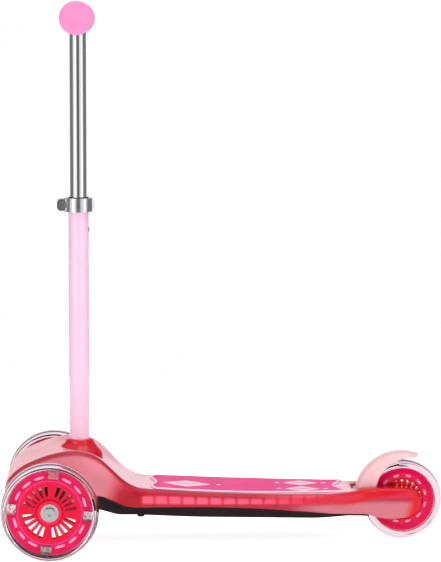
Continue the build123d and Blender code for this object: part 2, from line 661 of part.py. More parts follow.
for name, side in SIDES.items():
    GRIP_INNER_Y = BAR_LENGTH / 2 - GRIP_LENGTH
    with BuildPart() as grip:
        with BuildSketch(Plane(origin=(STEM_X, 0, BAR_HEIGHT), x_dir=(1, 0, 0), z_dir=(0, 0, 1))):
            with BuildLine():
                end_y = BAR_LENGTH / 2
                Polyline(
                    (0, end_y - GRIP_END_T),
                    (CROSSBAR_D / 2 + RUN_FIT, end_y - GRIP_END_T),
                    (CROSSBAR_D / 2 + RUN_FIT, GRIP_INNER_Y),
                    (GRIP_D / 2 + 2.5, GRIP_INNER_Y),
                    (GRIP_D / 2 + 2.5, GRIP_INNER_Y + 4),
                    (GRIP_D / 2 - 0.5, GRIP_INNER_Y + 7),
                )
                ThreePointArc(
                    (GRIP_D / 2 - 0.5, GRIP_INNER_Y + 7),
                    (GRIP_D / 2 + 0.8, GRIP_INNER_Y + GRIP_LENGTH / 2),
                    (GRIP_D / 2 - 0.5, end_y - GRIP_END_T - 4),
                )
                Polyline(
                    (GRIP_D / 2 - 0.5, end_y - GRIP_END_T - 4),
                    (GRIP_END_D / 2, end_y - GRIP_END_T),
                    (GRIP_END_D / 2, end_y - 2.5),
                    (GRIP_END_D / 2 - 2.5, end_y),
                    (0, end_y),
                    (0, end_y - GRIP_END_T),
                )
            make_face()
        revolve(axis=Axis((STEM_X, 0, BAR_HEIGHT), (0, 1, 0)))
        if side < 0:
            mirror(about=Plane.XZ, mode=Mode.REPLACE)
    save(grip, "grip_" + name)

# ---------------------------------------------------------------- steering truck
with BuildPart() as steering_truck:
    for end in (-1, 1):
        ear_plane = kingpin_plane(0).offset(EAR_IN if end > 0 else -EAR_OUT)
        with BuildSketch(ear_plane):
            Rectangle(BARREL_D, 2 * KINGPIN_Y)
            with Locations((0, KINGPIN_Y), (0, -KINGPIN_Y)):
                Circle(BARREL_D / 2)
                Circle(KINGPIN_D / 2 + LOOSE_FIT, mode=Mode.SUBTRACT)
        extrude(amount=EAR_T)
    with BuildSketch(kingpin_plane(0).offset(-EAR_OUT)):
        Rectangle(BARREL_D, 28)
    extrude(amount=2 * EAR_OUT)
    # bracket that holds the centring springs
    with BuildSketch(kingpin_plane(0).offset(-6)):
        with Locations((SPRING_REACH / 2 + 5, 0)):
            Rectangle(SPRING_REACH - 1, 2 * SPRING_POST)
    extrude(amount=TIE_BOTTOM + 5)
    with BuildSketch(kingpin_plane(0).offset(-6)):
        with Locations((SPRING_REACH, 0)):
            Rectangle(9, 2 * SPRING_POST)
    extrude(amount=15)
    # flange that is screwed to the nose
    box_between((FRONT_AXLE_X - 42, -28, TRUCK_TOP), (FRONT_AXLE_X + 2, 28, TRUCK_TOP + 4))
    box_between((FRONT_AXLE_X - 24, -14, TRUCK_TOP - 12), (FRONT_AXLE_X - 2, 14, TRUCK_TOP + 1))
    posts(TRUCK_SCREWS, TRUCK_TOP - 5, TRUCK_TOP + 5, SCREW_D + 2 * LOOSE_FIT, mode=Mode.SUBTRACT)
save(steering_truck, "steering_truck")
save(screw(TRUCK_SCREWS, TRUCK_TOP - SCREW_HEAD_T, 14), "truck_screws")

with BuildPart() as kingpin_nuts:
    for side in SIDES.values():
        with BuildSketch(kingpin_plane(side * KINGPIN_Y).offset(-EAR_OUT - 5)):
            RegularPolygon(7.2, 6)
            Circle(KINGPIN_D / 2 + RUN_FIT, mode=Mode.SUBTRACT)
        extrude(amount=5)
save(kingpin_nuts, "kingpin_nuts")

for name, side in SIDES.items():
    pin_plane = kingpin_plane(side * KINGPIN_Y)
    with BuildPart() as kingpin:
        with BuildSketch(pin_plane.offset(-EAR_OUT - 5)):
            Circle(KINGPIN_D / 2)
        extrude(amount=2 * EAR_OUT + 5)
        with BuildSketch(pin_plane.offset(EAR_OUT)):
            Circle(6.5)
        extrude(amount=4)
    save(kingpin, "kingpin_" + name)

    with BuildPart() as kingpin_bushes:
        for end in (-1, 1):
            sleeve = pin_plane.offset(BARREL_L / 2 - 7 if end > 0 else -BARREL_L / 2)
            flange = pin_plane.offset(BARREL_L / 2 if end > 0 else -BARREL_L / 2 - BUSH_FLANGE)
            with BuildSketch(sleeve):
                Circle(KINGPIN_D / 2 + 1.5)
                Circle(KINGPIN_D / 2 + RUN_FIT, mode=Mode.SUBTRACT)
            extrude(amount=7)
            with BuildSketch(flange):
                Circle(KINGPIN_D / 2 + 3.5)
                Circle(KINGPIN_D / 2 + RUN_FIT, mode=Mode.SUBTRACT)
            extrude(amount=BUSH_FLANGE)
    save(kingpin_bushes, "kingpin_bushes_" + name)

    pin_hole = TIE_PIN_D + 2 * LOOSE_FIT
    with BuildPart() as steering_arm:
        with BuildSketch(pin_plane.offset(-BARREL_L / 2)):
            Circle(BARREL_D / 2)
        extrude(amount=BARREL_L)
        with BuildSketch(pin_plane.offset(-LUG_T / 2)):
            with Locations((TIE_REACH / 2, 0)):
                Rectangle(TIE_REACH, 14)
            with Locations((TIE_REACH, 0)):
                Circle(7)
            with Locations((TIE_REACH, 0)):
                SlotOverall(pin_hole + TIE_SLOT_EXTRA, pin_hole, mode=Mode.SUBTRACT)
        extrude(amount=LUG_T)
        boss_y = sorted((side * KINGPIN_Y, side * (WHEEL_INNER_Y - FACE_GAP)))
        with BuildSketch(wheel_plane(FRONT_AXLE_X, boss_y[0], FRONT_AXLE_Z)):
            Circle(ARM_BOSS_D / 2)
        extrude(amount=-(boss_y[1] - boss_y[0]))
        with BuildSketch(pin_plane.offset(-BARREL_L / 2)):
            Circle(KINGPIN_D / 2 + 1.5 + RUN_FIT)
        extrude(amount=BARREL_L, mode=Mode.SUBTRACT)
        bore_y = sorted((side * (KINGPIN_Y + 16), side * WHEEL_INNER_Y))
        with BuildSketch(wheel_plane(FRONT_AXLE_X, bore_y[0], FRONT_AXLE_Z)):
            Circle(AXLE_D / 2 + RUN_FIT)
        extrude(amount=-(bore_y[1] - bore_y[0]), mode=Mode.SUBTRACT)
    save(steering_arm, "steering_arm_" + name)

SPRING_LEVEL = TIE_BOTTOM + TIE_ROD_T / 2
with BuildPart() as tie_rod:
    with BuildSketch(kingpin_plane(0).offset(TIE_BOTTOM)):
        with Locations((TIE_REACH, 0)):
            SlotCenterToCenter(2 * KINGPIN_Y, 10, rotation=90)
        with Locations((TIE_REACH, KINGPIN_Y), (TIE_REACH, -KINGPIN_Y)):
            Circle(TIE_PIN_D / 2 + RUN_FIT, mode=Mode.SUBTRACT)
    extrude(amount=TIE_ROD_T)
    for side in SIDES.values():
        with BuildSketch(kingpin_plane(side * (SPRING_POST + SPRING_SPAN + 1.5)).offset(TIE_BOTTOM - 2.4)):
            with Locations(((TIE_REACH + SPRING_REACH + 4.5) / 2, 0)):
                Rectangle(SPRING_REACH + 4.5 - TIE_REACH, 3)
        extrude(amount=TIE_ROD_T + 4.8)
save(tie_rod, "tie_rod")

with BuildPart() as tie_rod_pins:
    for side in SIDES.values():
        for start, height, radius in (
            (-LUG_T / 2 - FACE_GAP - 1.5, 1.5, 4.2),
            (-LUG_T / 2 - FACE_GAP, LUG_T + 2 * FACE_GAP + TIE_ROD_T, TIE_PIN_D / 2),
            (TIE_BOTTOM + TIE_ROD_T, 1.5, 4.2),
        ):
            with BuildSketch(kingpin_plane(side * KINGPIN_Y).offset(start)):
                with Locations((TIE_REACH, 0)):
                    Circle(radius)
            extrude(amount=height)
save(tie_rod_pins, "tie_rod_pins")


def coil(plane, turns, length, diameter, wire):
    """A coil spring of round wire that starts at the plane and runs along its normal."""
    pitch = (length - wire) / turns
    with BuildPart() as spring:
        with BuildLine() as path:
            start = plane.offset(wire / 2).origin
            Helix(pitch, pitch * turns, diameter / 2 - wire / 2, center=start, direction=plane.z_dir)
        with BuildSketch(Plane(origin=path.line @ 0, z_dir=path.line % 0)):
            Circle(wire / 2)
        sweep(is_frenet=True)
    return spring


for name, side in SIDES.items():
    spring_at = kingpin_plane(0).from_local_coords((SPRING_REACH, side * (SPRING_POST + 0.2), SPRING_LEVEL))
    seat = Plane(origin=spring_at, x_dir=KINGPIN_UP, z_dir=(0, side, 0))
    save(coil(seat, SPRING_TURNS, SPRING_SPAN - 0.4, SPRING_D, SPRING_WIRE), "centring_spring_" + name)


# ---------------------------------------------------------------- wheels
def ring(x, y, z, inner, outer, width):
    """A plain ring round the axle."""
    with BuildPart() as piece:
        with BuildSketch(wheel_plane(x, y, z)):
            Circle(outer)
            Circle(inner, mode=Mode.SUBTRACT)
        extrude(amount=width / 2, both=True)
    return piece


def bearing_pair(x, y, z):
    """Two ball bearings, shielded on both sides, one at each end of the hub."""
    mid_r = (AXLE_D + BEARING_D) / 4
    with BuildPart() as bearings:
        for end in (-1, 1):
            middle = y + end * (HUB_W / 2 - BEARING_W / 2)
            with BuildSketch(axle_plane(x, middle, z)):
                with Locations((mid_r, 0)):
                    Rectangle(BEARING_D / 2 - AXLE_D / 2 - RUN_FIT, BEARING_W)
                with Locations((mid_r, BEARING_W / 2), (mid_r, -BEARING_W / 2)):
                    Rectangle(3.6, 0.8, mode=Mode.SUBTRACT)
            revolve(axis=Axis((x, middle, z), (0, 1, 0)))
    return bearings


def tyre(x, y, z, outer, inner, width):
    """A cast clear tyre with a crowned tread and rounded shoulders."""
    half = width / 2
    with BuildPart() as piece:
        with BuildSketch(axle_plane(x, y, z)):
            with BuildLine():
                Polyline((inner, half - 3), (inner, -half + 3), (inner + 2, -half + 0.8))
                crown = Spline(
                    (inner + 2, -half + 0.8),
                    (outer - 3.2, -half),
                    (outer, 0),
                    (outer - 3.2, half),
                    (inner + 2, half - 0.8),
                )
                Line(crown @ 1, (inner, half - 3))
            make_face()
        revolve(axis=Axis((x, y, z), (0, 1, 0)))
    return piece


def front_hub(x, y, z):
    """Spoked hub: a slotted disc, a ring of tapered fins and notches for the lights."""
    rim = FRONT_HUB_D / 2
    with BuildPart() as hub:
        with BuildSketch(axle_plane(x, y, z)):
            with BuildLine():
                Polyline(
                    (BEARING_D / 2, HUB_W / 2),
                    (BEARING_D / 2, -HUB_W / 2),
                    (BEARING_D / 2 + 4, -HUB_W / 2),
                    (BEARING_D / 2 + 6, -6.5),
                    (37.5, -6.5),
                    (38.4, -7.6),
                    (39.6, -7.6),
                    (40.5, -6.5),
                    (47, -6.5),
                    (rim, -FRONT_WHEEL_W / 2 + 3),
                    (rim, FRONT_WHEEL_W / 2 - 3),
                    (47, 6.5),
                    (40.5, 6.5),
                    (39.6, 7.6),
                    (38.4, 7.6),
                    (37.5, 6.5),
                    (BEARING_D / 2 + 6, 6.5),
                    (BEARING_D / 2 + 4, HUB_W / 2),
                    close=True,
                )
            make_face()
        revolve(axis=Axis((x, y, z), (0, 1, 0)))
        with BuildSketch(wheel_plane(x, y, z)):
            with PolarLocations(rim - 5, LIGHT_COUNT, start_angle=90 + WHEEL_PHASE):
                Rectangle(2 * (rim - 5 - LIGHT_INNER_R), LIGHT_W)
            for quarter in range(LIGHT_COUNT):
                with PolarLocations(44, 3, 112.5 + WHEEL_PHASE + quarter * 90, 67.5, endpoint=False):
                    SlotOverall(13, 4, rotation=90)
                with PolarLocations(0, 5, 105 + WHEEL_PHASE + quarter * 90, 75, endpoint=False):
                    Polygon((18.7, -1.2), (33.6, -2.9), (33.6, 2.9), (18.7, 1.2), align=None)
        extrude(amount=FRONT_WHEEL_W, both=True, mode=Mode.SUBTRACT)
    return hub


def lights(x, y, z):
    """Clear light blocks that fill the notches of a front hub's rim."""
    rim = FRONT_HUB_D / 2
    with BuildPart() as blocks:
        with BuildSketch(wheel_plane(x, y, z)):
            with PolarLocations((rim + LIGHT_INNER_R) / 2 - 0.1, LIGHT_COUNT, start_angle=90 + WHEEL_PHASE):
                Rectangle(rim - LIGHT_INNER_R - 0.9, LIGHT_W - 0.3)
        extrude(amount=FRONT_WHEEL_W / 2 - 4, both=True)
    return blocks


for name, side in SIDES.items():
    centre = (FRONT_AXLE_X, side * TRACK / 2, FRONT_AXLE_Z)
    save(front_hub(*centre), "front_hub_" + name)
    save(tyre(*centre, FRONT_WHEEL_D / 2, FRONT_HUB_D / 2, FRONT_WHEEL_W), "front_tyre_" + name)
    save(lights(*centre), "front_lights_" + name)
    save(bearing_pair(*centre), "front_bearings_" + name)
    save(ring(*centre, 8.0, BEARING_D / 2 - RUN_FIT, HUB_W - 2 * BEARING_W - 0.4), "coil_ring_" + name)
    save(ring(*centre, AXLE_D / 2 + RUN_FIT, 6.8, HUB_W - 2 * BEARING_W - 0.6), "magnet_spacer_" + name)
    with BuildPart() as front_axle:
        shank_y = sorted((side * (KINGPIN_Y + 18), side * HUB_FACE_Y))
        with BuildSketch(wheel_plane(FRONT_AXLE_X, shank_y[0], FRONT_AXLE_Z)):
            Circle(AXLE_D / 2)
        extrude(amount=-(shank_y[1] - shank_y[0]))
        with BuildSketch(wheel_plane(FRONT_AXLE_X, side * HUB_FACE_Y, FRONT_AXLE_Z)):
            Circle(AXLE_HEAD_D / 2)
        extrude(amount=-side * (AXLE_HEAD_T - FACE_GAP))
        head_face = wheel_plane(FRONT_AXLE_X, side * (TRACK / 2 + HUB_W / 2 + AXLE_HEAD_T), FRONT_AXLE_Z)
        with BuildSketch(head_face):
            RegularPolygon(3.4, 6)
        extrude(amount=side * 2.5, mode=Mode.SUBTRACT)
    save(front_axle, "front_axle_" + name)

REAR_CENTRE = (REAR_AXLE_X, 0, REAR_AXLE_Z)
with BuildPart() as rear_hub:
    with BuildSketch(axle_plane(*REAR_CENTRE)):
        with BuildLine():
            Polyline(
                (BEARING_D / 2, HUB_W / 2),
                (BEARING_D / 2, -HUB_W / 2),
                (BEARING_D / 2 + 4, -HUB_W / 2),
                (BEARING_D / 2 + 6, -5),
                (25.5, -5),
                (26.5, -6.5),
                (34, -6.5),
                (REAR_HUB_D / 2, -REAR_WHEEL_W / 2 + 3),
                (REAR_HUB_D / 2, REAR_WHEEL_W / 2 - 3),
                (34, 6.5),
                (26.5, 6.5),
                (25.5, 5),
                (BEARING_D / 2 + 6, 5),
                (BEARING_D / 2 + 4, HUB_W / 2),
                close=True,
            )
        make_face()
    revolve(axis=Axis(REAR_CENTRE, (0, 1, 0)))
    with BuildSketch(wheel_plane(*REAR_CENTRE)):
        with PolarLocations(30.2, SLOT_COUNT, start_angle=15):
            SlotOverall(9, 3.8, rotation=90)
        with PolarLocations(0, FIN_COUNT):
            Polygon((18.5, -0.9), (24.5, -1.6), (24.5, 1.6), (18.5, 0.9), align=None)
    extrude(amount=REAR_WHEEL_W, both=True, mode=Mode.SUBTRACT)
save(rear_hub, "rear_hub")
save(tyre(*REAR_CENTRE, REAR_WHEEL_D / 2, REAR_HUB_D / 2, REAR_WHEEL_W), "rear_tyre")
save(bearing_pair(*REAR_CENTRE), "rear_bearings")
save(ring(*REAR_CENTRE, AXLE_D / 2 + RUN_FIT, 6.8, HUB_W - 2 * BEARING_W - 0.4), "rear_spacer")

with BuildPart() as rear_axle:
    with BuildSketch(wheel_plane(*REAR_CENTRE)):
        Circle(AXLE_D / 2)
    extrude(amount=PRONG_OUT, both=True)
save(rear_axle, "rear_axle")

with BuildPart() as axle_sleeves:
    for side in SIDES.values():
        sleeve_y = side * (HUB_W / 2 + FACE_GAP)
        with BuildSketch(wheel_plane(REAR_AXLE_X, sleeve_y, REAR_AXLE_Z)):
            Circle(6.5)
            Circle(AXLE_D / 2 + RUN_FIT, mode=Mode.SUBTRACT)
        extrude(amount=-side * (FORK_GAP - HUB_W / 2 - FACE_GAP))
save(axle_sleeves, "axle_sleeves")

# ---------------------------------------------------------------- foot brake
with BuildPart() as brake_fender:
    with BuildSketch(wheel_plane(REAR_AXLE_X, 0, REAR_AXLE_Z)):
        with BuildLine():
            roof = CenterArc((0, 0), FENDER_R, FENDER_TIP, FENDER_START - FENDER_TIP)
            tip = roof @ 0
            foot = roof @ 1
            skirt = Spline(
                tip,
                (8, 53.5),
                (-14, 44),
                (-27, 31),
                (-36, 12),
                tangents=[(-1, -0.35), (-0.2, -1)],
            )
            Polyline(foot, (PIVOT_X - REAR_AXLE_X - 3.5, PIVOT_Z - REAR_AXLE_Z + 3), skirt @ 1)
        make_face()
    extrude(amount=FENDER_HALF_W, both=True)
    # the wheel's space under the roof and between the skirts
    with BuildSketch(wheel_plane(REAR_AXLE_X, 0, REAR_AXLE_Z)):
        Circle(FENDER_R - FENDER_T)
    extrude(amount=FENDER_HALF_W - FENDER_SKIRT_T, both=True, mode=Mode.SUBTRACT)
    # hinge barrel, open in the middle for the return spring
    with BuildSketch(wheel_plane(PIVOT_X, 0, PIVOT_Z)):
        Circle(4.5)
    extrude(amount=FENDER_HALF_W, both=True)
    with BuildSketch(wheel_plane(REAR_AXLE_X, 0, REAR_AXLE_Z)):
        Circle(REAR_WHEEL_D / 2 + 1.5)
    extrude(amount=FENDER_HALF_W - FENDER_SKIRT_T, both=True, mode=Mode.SUBTRACT)
    with BuildSketch(wheel_plane(PIVOT_X, 0, PIVOT_Z)):
        Circle(6)
    extrude(amount=6, both=True, mode=Mode.SUBTRACT)
    with BuildSketch(wheel_plane(PIVOT_X, 0, PIVOT_Z)):
        Circle(FENDER_PIN_D / 2 + RUN_FIT)
    extrude(amount=FENDER_HALF_W + 1, both=True, mode=Mode.SUBTRACT)
save(brake_fender, "brake_fender")

with BuildPart() as brake_pad:
    with BuildSketch(wheel_plane(REAR_AXLE_X, 0, REAR_AXLE_Z)):
        with BuildLine():
            shoe_in = CenterArc((0, 0), BRAKE_SHOE_R, 88, 24)
            shoe_out = CenterArc((0, 0), FENDER_R - FENDER_T - 0.05, 88, 24)
            Line(shoe_in @ 0, shoe_out @ 0)
            Line(shoe_in @ 1, shoe_out @ 1)
        make_face()
    extrude(amount=8, both=True)
save(brake_pad, "brake_pad")

with BuildPart() as fender_pin:
    with BuildSketch(wheel_plane(PIVOT_X, 0, PIVOT_Z)):
        Circle(FENDER_PIN_D / 2)
    extrude(amount=PRONG_OUT - 1, both=True)
save(fender_pin, "fender_pin")

fender_seat = Plane(origin=(PIVOT_X, -5.4, PIVOT_Z), x_dir=(1, 0, 0), z_dir=(0, 1, 0))
save(coil(fender_seat, 7, 10.8, FENDER_PIN_D + 4.2, 1.4), "fender_spring")
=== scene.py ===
import json
from math import cos, pi, radians, sin

import bmesh
import bpy
import numpy as np
from mathutils import Matrix, Vector


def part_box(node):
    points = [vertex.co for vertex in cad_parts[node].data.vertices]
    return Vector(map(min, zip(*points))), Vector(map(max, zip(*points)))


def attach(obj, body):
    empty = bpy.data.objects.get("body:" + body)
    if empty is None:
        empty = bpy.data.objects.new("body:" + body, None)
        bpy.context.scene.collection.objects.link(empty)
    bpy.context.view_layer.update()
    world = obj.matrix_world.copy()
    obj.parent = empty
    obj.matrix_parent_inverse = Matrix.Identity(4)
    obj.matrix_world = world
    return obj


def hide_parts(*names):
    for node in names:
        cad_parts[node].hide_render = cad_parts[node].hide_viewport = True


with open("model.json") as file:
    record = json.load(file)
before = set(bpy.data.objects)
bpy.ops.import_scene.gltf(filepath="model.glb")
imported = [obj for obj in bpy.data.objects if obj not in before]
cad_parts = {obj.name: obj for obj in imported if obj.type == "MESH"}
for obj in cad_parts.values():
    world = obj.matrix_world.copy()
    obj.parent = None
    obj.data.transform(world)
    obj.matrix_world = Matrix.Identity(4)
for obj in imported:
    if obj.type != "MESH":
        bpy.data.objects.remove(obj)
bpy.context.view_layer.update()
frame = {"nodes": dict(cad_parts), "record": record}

# The looks of a child's three-wheeled kick scooter around its CAD frame.  Shapes are worked out in
# millimetres and put into the meshes in metres.  Side profiles count x from the front axle.

MM = 0.001
NODES = frame["nodes"]


def middle(node):
    """Centre of a CAD node's box, in millimetres."""
    low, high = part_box(node)
    return np.array((low + high) / 2) / MM


def extent(node):
    """Lowest and highest corner of a CAD node's box, in millimetres."""
    low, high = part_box(node)
    return np.array(low) / MM, np.array(high) / MM


FRONT_AXLE = middle("front_hub_left")
REAR_AXLE = middle("rear_hub")
STEM = middle("lower_tube")
BAR = middle("crossbar")
AXLE_X = FRONT_AXLE[0]
FORK_GAP = 15.5             # half the space between the fork arms
SHELL_WALL = 3.0
MERGE = 0.00002             # metres between points that are one


# ---------------------------------------------------------------- curves and grids
def smooth(low, high, value):
    """A soft step from 0 at low to 1 at high: 3t^2 - 2t^3."""
    t = np.clip((value - low) / (high - low), 0, 1)
    return t * t * (3 - 2 * t)


def bell(value, width):
    """A bell curve of the value, 1 at 0, with that width."""
    return np.exp(-(value / width) ** 2)


def through(points, where):
    """Height of a smooth curve through the points: cubic pieces whose slopes at the points are the
    mean of the two chords there, each weighted by the other's length."""
    px, pz = np.array(points, float).T
    run = np.diff(px)
    chord = np.diff(pz) / run
    mean = (chord[:-1] * run[1:] + chord[1:] * run[:-1]) / (run[:-1] + run[1:])
    slope = np.concatenate([chord[:1], mean, chord[-1:]])
    i = np.clip(np.searchsorted(px, where) - 1, 0, len(px) - 2)
    t = np.clip((where - px[i]) / run[i], 0, 1)
    return (
        (2 * t**3 - 3 * t**2 + 1) * pz[i]
        + (t**3 - 2 * t**2 + t) * run[i] * slope[i]
        + (3 * t**2 - 2 * t**3) * pz[i + 1]
        + (t**3 - t**2) * run[i] * slope[i + 1]
    )


def along(points, count):
    """Points evenly spaced on a smooth curve through the given ones: each coordinate is a smooth
    function of the distance travelled."""
    p = np.array(points, float)
    travelled = np.concatenate([[0], np.cumsum(np.linalg.norm(np.diff(p, axis=0), axis=1))])
    s = np.linspace(0, travelled[-1], count)
    return np.stack([through(np.stack([travelled, p[:, k]], 1), s) for k in range(p.shape[1])], 1)


def rounded(points, radii, steps=5, closed=True):
    """An outline with its corners rounded: each corner becomes a quadratic curve that starts and
    ends its radius away from it, or under half a side away if the side is short."""
    p = np.array(points, float)
    radii = np.broadcast_to(np.array(radii, float), (len(p),))
    made = []
    t = np.linspace(0, 1, steps)[:, None]
    for i, corner in enumerate(p):
        if not closed and i in (0, len(p) - 1):
            made.append(corner[None])
            continue
        before, after = p[i - 1] - corner, p[(i + 1) % len(p)] - corner
        sides = [(side, np.linalg.norm(side)) for side in (before, after)]
        a, b = (corner + side * min(radii[i], 0.48 * run) / run for side, run in sides)
        made.append((1 - t) ** 2 * a + 2 * t * (1 - t) * corner + t**2 * b)
    return np.concatenate(made)


def grid_faces(rows, columns, round_rows=False, round_columns=False):
    """Four-sided faces that join neighbours on a grid, which may close on itself either way."""
    r = np.arange(rows if round_rows else rows - 1)
    c = np.arange(columns if round_columns else columns - 1)
    r, c = (g.ravel() for g in np.meshgrid(r, c, indexing="ij"))
    r1, c1 = (r + 1) % rows, (c + 1) % columns
    return np.stack([r * columns + c, r * columns + c1, r1 * columns + c1, r1 * columns + c], 1)


def piece(name, body, grids, finish, replaced=(), sharp=38.0):
    """A piece made of grids of points in millimetres.  Each grid is a dict of its points (rows,
    columns, 3), round_rows or round_columns if it closes, and colours or values for its points.
    Doubles closer than MERGE are merged and faces are turned outwards."""
    points, faces, values, start = [], [], {}, 0
    for grid in grids:
        p = grid["points"]
        points.append(p.reshape(-1, 3))
        made = grid_faces(p.shape[0], p.shape[1], grid.get("round_rows"), grid.get("round_columns"))
        faces.append(made + start)
        count = p.shape[0] * p.shape[1]
        for key in {k for g in grids for k in g.get("values", {})}:
            value = np.asarray(grid["values"][key], float)
            values.setdefault(key, []).append(value.reshape(count, -1))
        start += count
    points, faces = np.concatenate(points), np.concatenate(faces)
    mesh = bpy.data.meshes.new(name)
    mesh.from_pydata((points * MM).tolist(), [], faces.tolist())
    for key, parts in values.items():
        data = np.concatenate(parts)
        if data.shape[1] == 1:
            layer = mesh.attributes.new(key, "FLOAT", "POINT")
            layer.data.foreach_set("value", data.ravel())
        else:
            rgba = np.concatenate([data, np.ones((len(data), 1))], 1)
            layer = mesh.attributes.new(key, "FLOAT_COLOR", "POINT")
            layer.data.foreach_set("color", rgba.ravel())
    shape = bmesh.new()
    shape.from_mesh(mesh)
    bmesh.ops.remove_doubles(shape, verts=shape.verts, dist=MERGE)
    bmesh.ops.dissolve_degenerate(shape, edges=shape.edges, dist=MERGE / 2)
    bmesh.ops.recalc_face_normals(shape, faces=shape.faces)
    shape.to_mesh(mesh)
    shape.free()
    mesh.shade_smooth()
    mesh.set_sharp_from_angle(angle=radians(sharp))
    made = bpy.data.objects.new(name, mesh)
    bpy.context.scene.collection.objects.link(made)
    mesh.materials.append(finish.material)
    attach(made, body)
    if replaced:
        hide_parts(*replaced)
    return made


def turned(profile, centre, turns):
    """A profile of (radius, distance along the axle) carried round an axle that runs along Y."""
    angle = np.arange(turns) * 2 * pi / turns
    radius, y = np.array(profile, float).T
    points = np.stack([
        centre[0] + np.cos(angle)[:, None] * radius,
        centre[1] + 0 * angle[:, None] + y,
        centre[2] + np.sin(angle)[:, None] * radius,
    ], -1)
    return {"points": points, "round_rows": True, "round_columns": True}


def linear(r, g, b):
    """A colour given as 0 to 255 on screen, as the light values that a shader takes."""
    c = np.array([r, g, b]) / 255
    return np.where(c <= 0.04045, c / 12.92, ((c + 0.055) / 1.055) ** 2.4)


# ---------------------------------------------------------------- shader building
def add_node(tree, kind, inputs=(), **settings):
    """A shader node with its settings, and its inputs given as values or as sockets to link."""
    made = tree.nodes.new(kind)
    for key, value in settings.items():
        setattr(made, key, value)
    for key, value in dict(inputs).items():
        socket = made.inputs[key]
        if isinstance(value, bpy.types.NodeSocket):
            tree.links.new(value, socket)
        else:
            socket.default_value = value
    return made


def effect(name, inputs, outputs):
    """A new shader node group with the named sockets, and its input and output nodes."""
    tree = bpy.data.node_groups.new(name, "ShaderNodeTree")
    for label, kind, value in inputs:
        tree.interface.new_socket(label, in_out="INPUT", socket_type=kind).default_value = value
    for label, kind in outputs:
        tree.interface.new_socket(label, in_out="OUTPUT", socket_type=kind)
    return tree, tree.nodes.new("NodeGroupInput").outputs, tree.nodes.new("NodeGroupOutput").inputs


def math(tree, operation, *values):
    """One arithmetic step on values or sockets."""
    return add_node(tree, "ShaderNodeMath", dict(enumerate(values)), operation=operation).outputs[0]


def ranged(tree, value, *ends, **settings):
    """A value or socket carried from the range of the first two ends to that of the last two."""
    inputs = dict(enumerate((value, *ends)))
    return add_node(tree, "ShaderNodeMapRange", inputs, **settings).outputs[0]


def noise(tree, place, scale, detail, **settings):
    """Noise over a place, as a value."""
    inputs = {"Vector": place, "Scale": scale, "Detail": detail, **settings}
    return add_node(tree, "ShaderNodeTexNoise", inputs).outputs[0]


def object_place(tree):
    """The place on the piece, in the object's own coordinates."""
    return add_node(tree, "ShaderNodeTexCoord").outputs["Object"]


def mix_colour(tree, share, first, second, kind="MIX"):
    """Two colours mixed by a share."""
    made = tree.nodes.new("ShaderNodeMix")
    made.data_type = "RGBA"
    made.blend_type = kind
    for index, value in ((0, share), (6, first), (7, second)):
        socket = made.inputs[index]
        if isinstance(value, bpy.types.NodeSocket):
            tree.links.new(value, socket)
        else:
            socket.default_value = value if socket.type == "VALUE" else (*value[:3], 1.0)
    return made.outputs[2]


def moulding_group():
    """Surface of a moulded or cast part: a slow mottle, a fine grain and a few faint scuffs."""
    tree, given, out = effect(
        "moulded_surface",
        [("Mottle Scale", "NodeSocketFloat", 22.0), ("Grain Scale", "NodeSocketFloat", 1400.0),
         ("Scuff Scale", "NodeSocketFloat", 60.0)],
        [("Mottle", "NodeSocketFloat"), ("Grain", "NodeSocketFloat"), ("Scuffs", "NodeSocketFloat")],
    )
    place = object_place(tree)
    turn = {"Vector": place, "Scale": (1.0, 1.0, 7.0), "Rotation": (0.3, 0.5, 0.2)}
    stretched = add_node(tree, "ShaderNodeMapping", turn).outputs[0]
    slow = noise(tree, place, given[0], 3.0)
    fine = noise(tree, place, given[1], 2.0)
    scuffs = ranged(tree, noise(tree, stretched, given[2], 6.0, Roughness=0.7), 0.6, 0.75)
    for socket, source in zip(out, (slow, fine, scuffs)):
        tree.links.new(source, socket)
    return tree


def brushed_group():
    """Drawing or turning marks: noise stretched along one direction, as light and dark lines."""
    tree, given, out = effect(
        "drawn_lines",
        [("Stretch", "NodeSocketVector", (900.0, 900.0, 12.0))],
        [("Lines", "NodeSocketFloat"), ("Smudge", "NodeSocketFloat")],
    )
    place = object_place(tree)
    drawn = add_node(tree, "ShaderNodeVectorMath", {0: place, 1: given[0]}, operation="MULTIPLY")
    lines = noise(tree, drawn.outputs[0], 1.0, 3.0)
    smudge = noise(tree, place, 35.0, 4.0)
    for socket, source in zip(out, (lines, smudge)):
        tree.links.new(source, socket)
    return tree


MOULDED = moulding_group()
DRAWN = brushed_group()


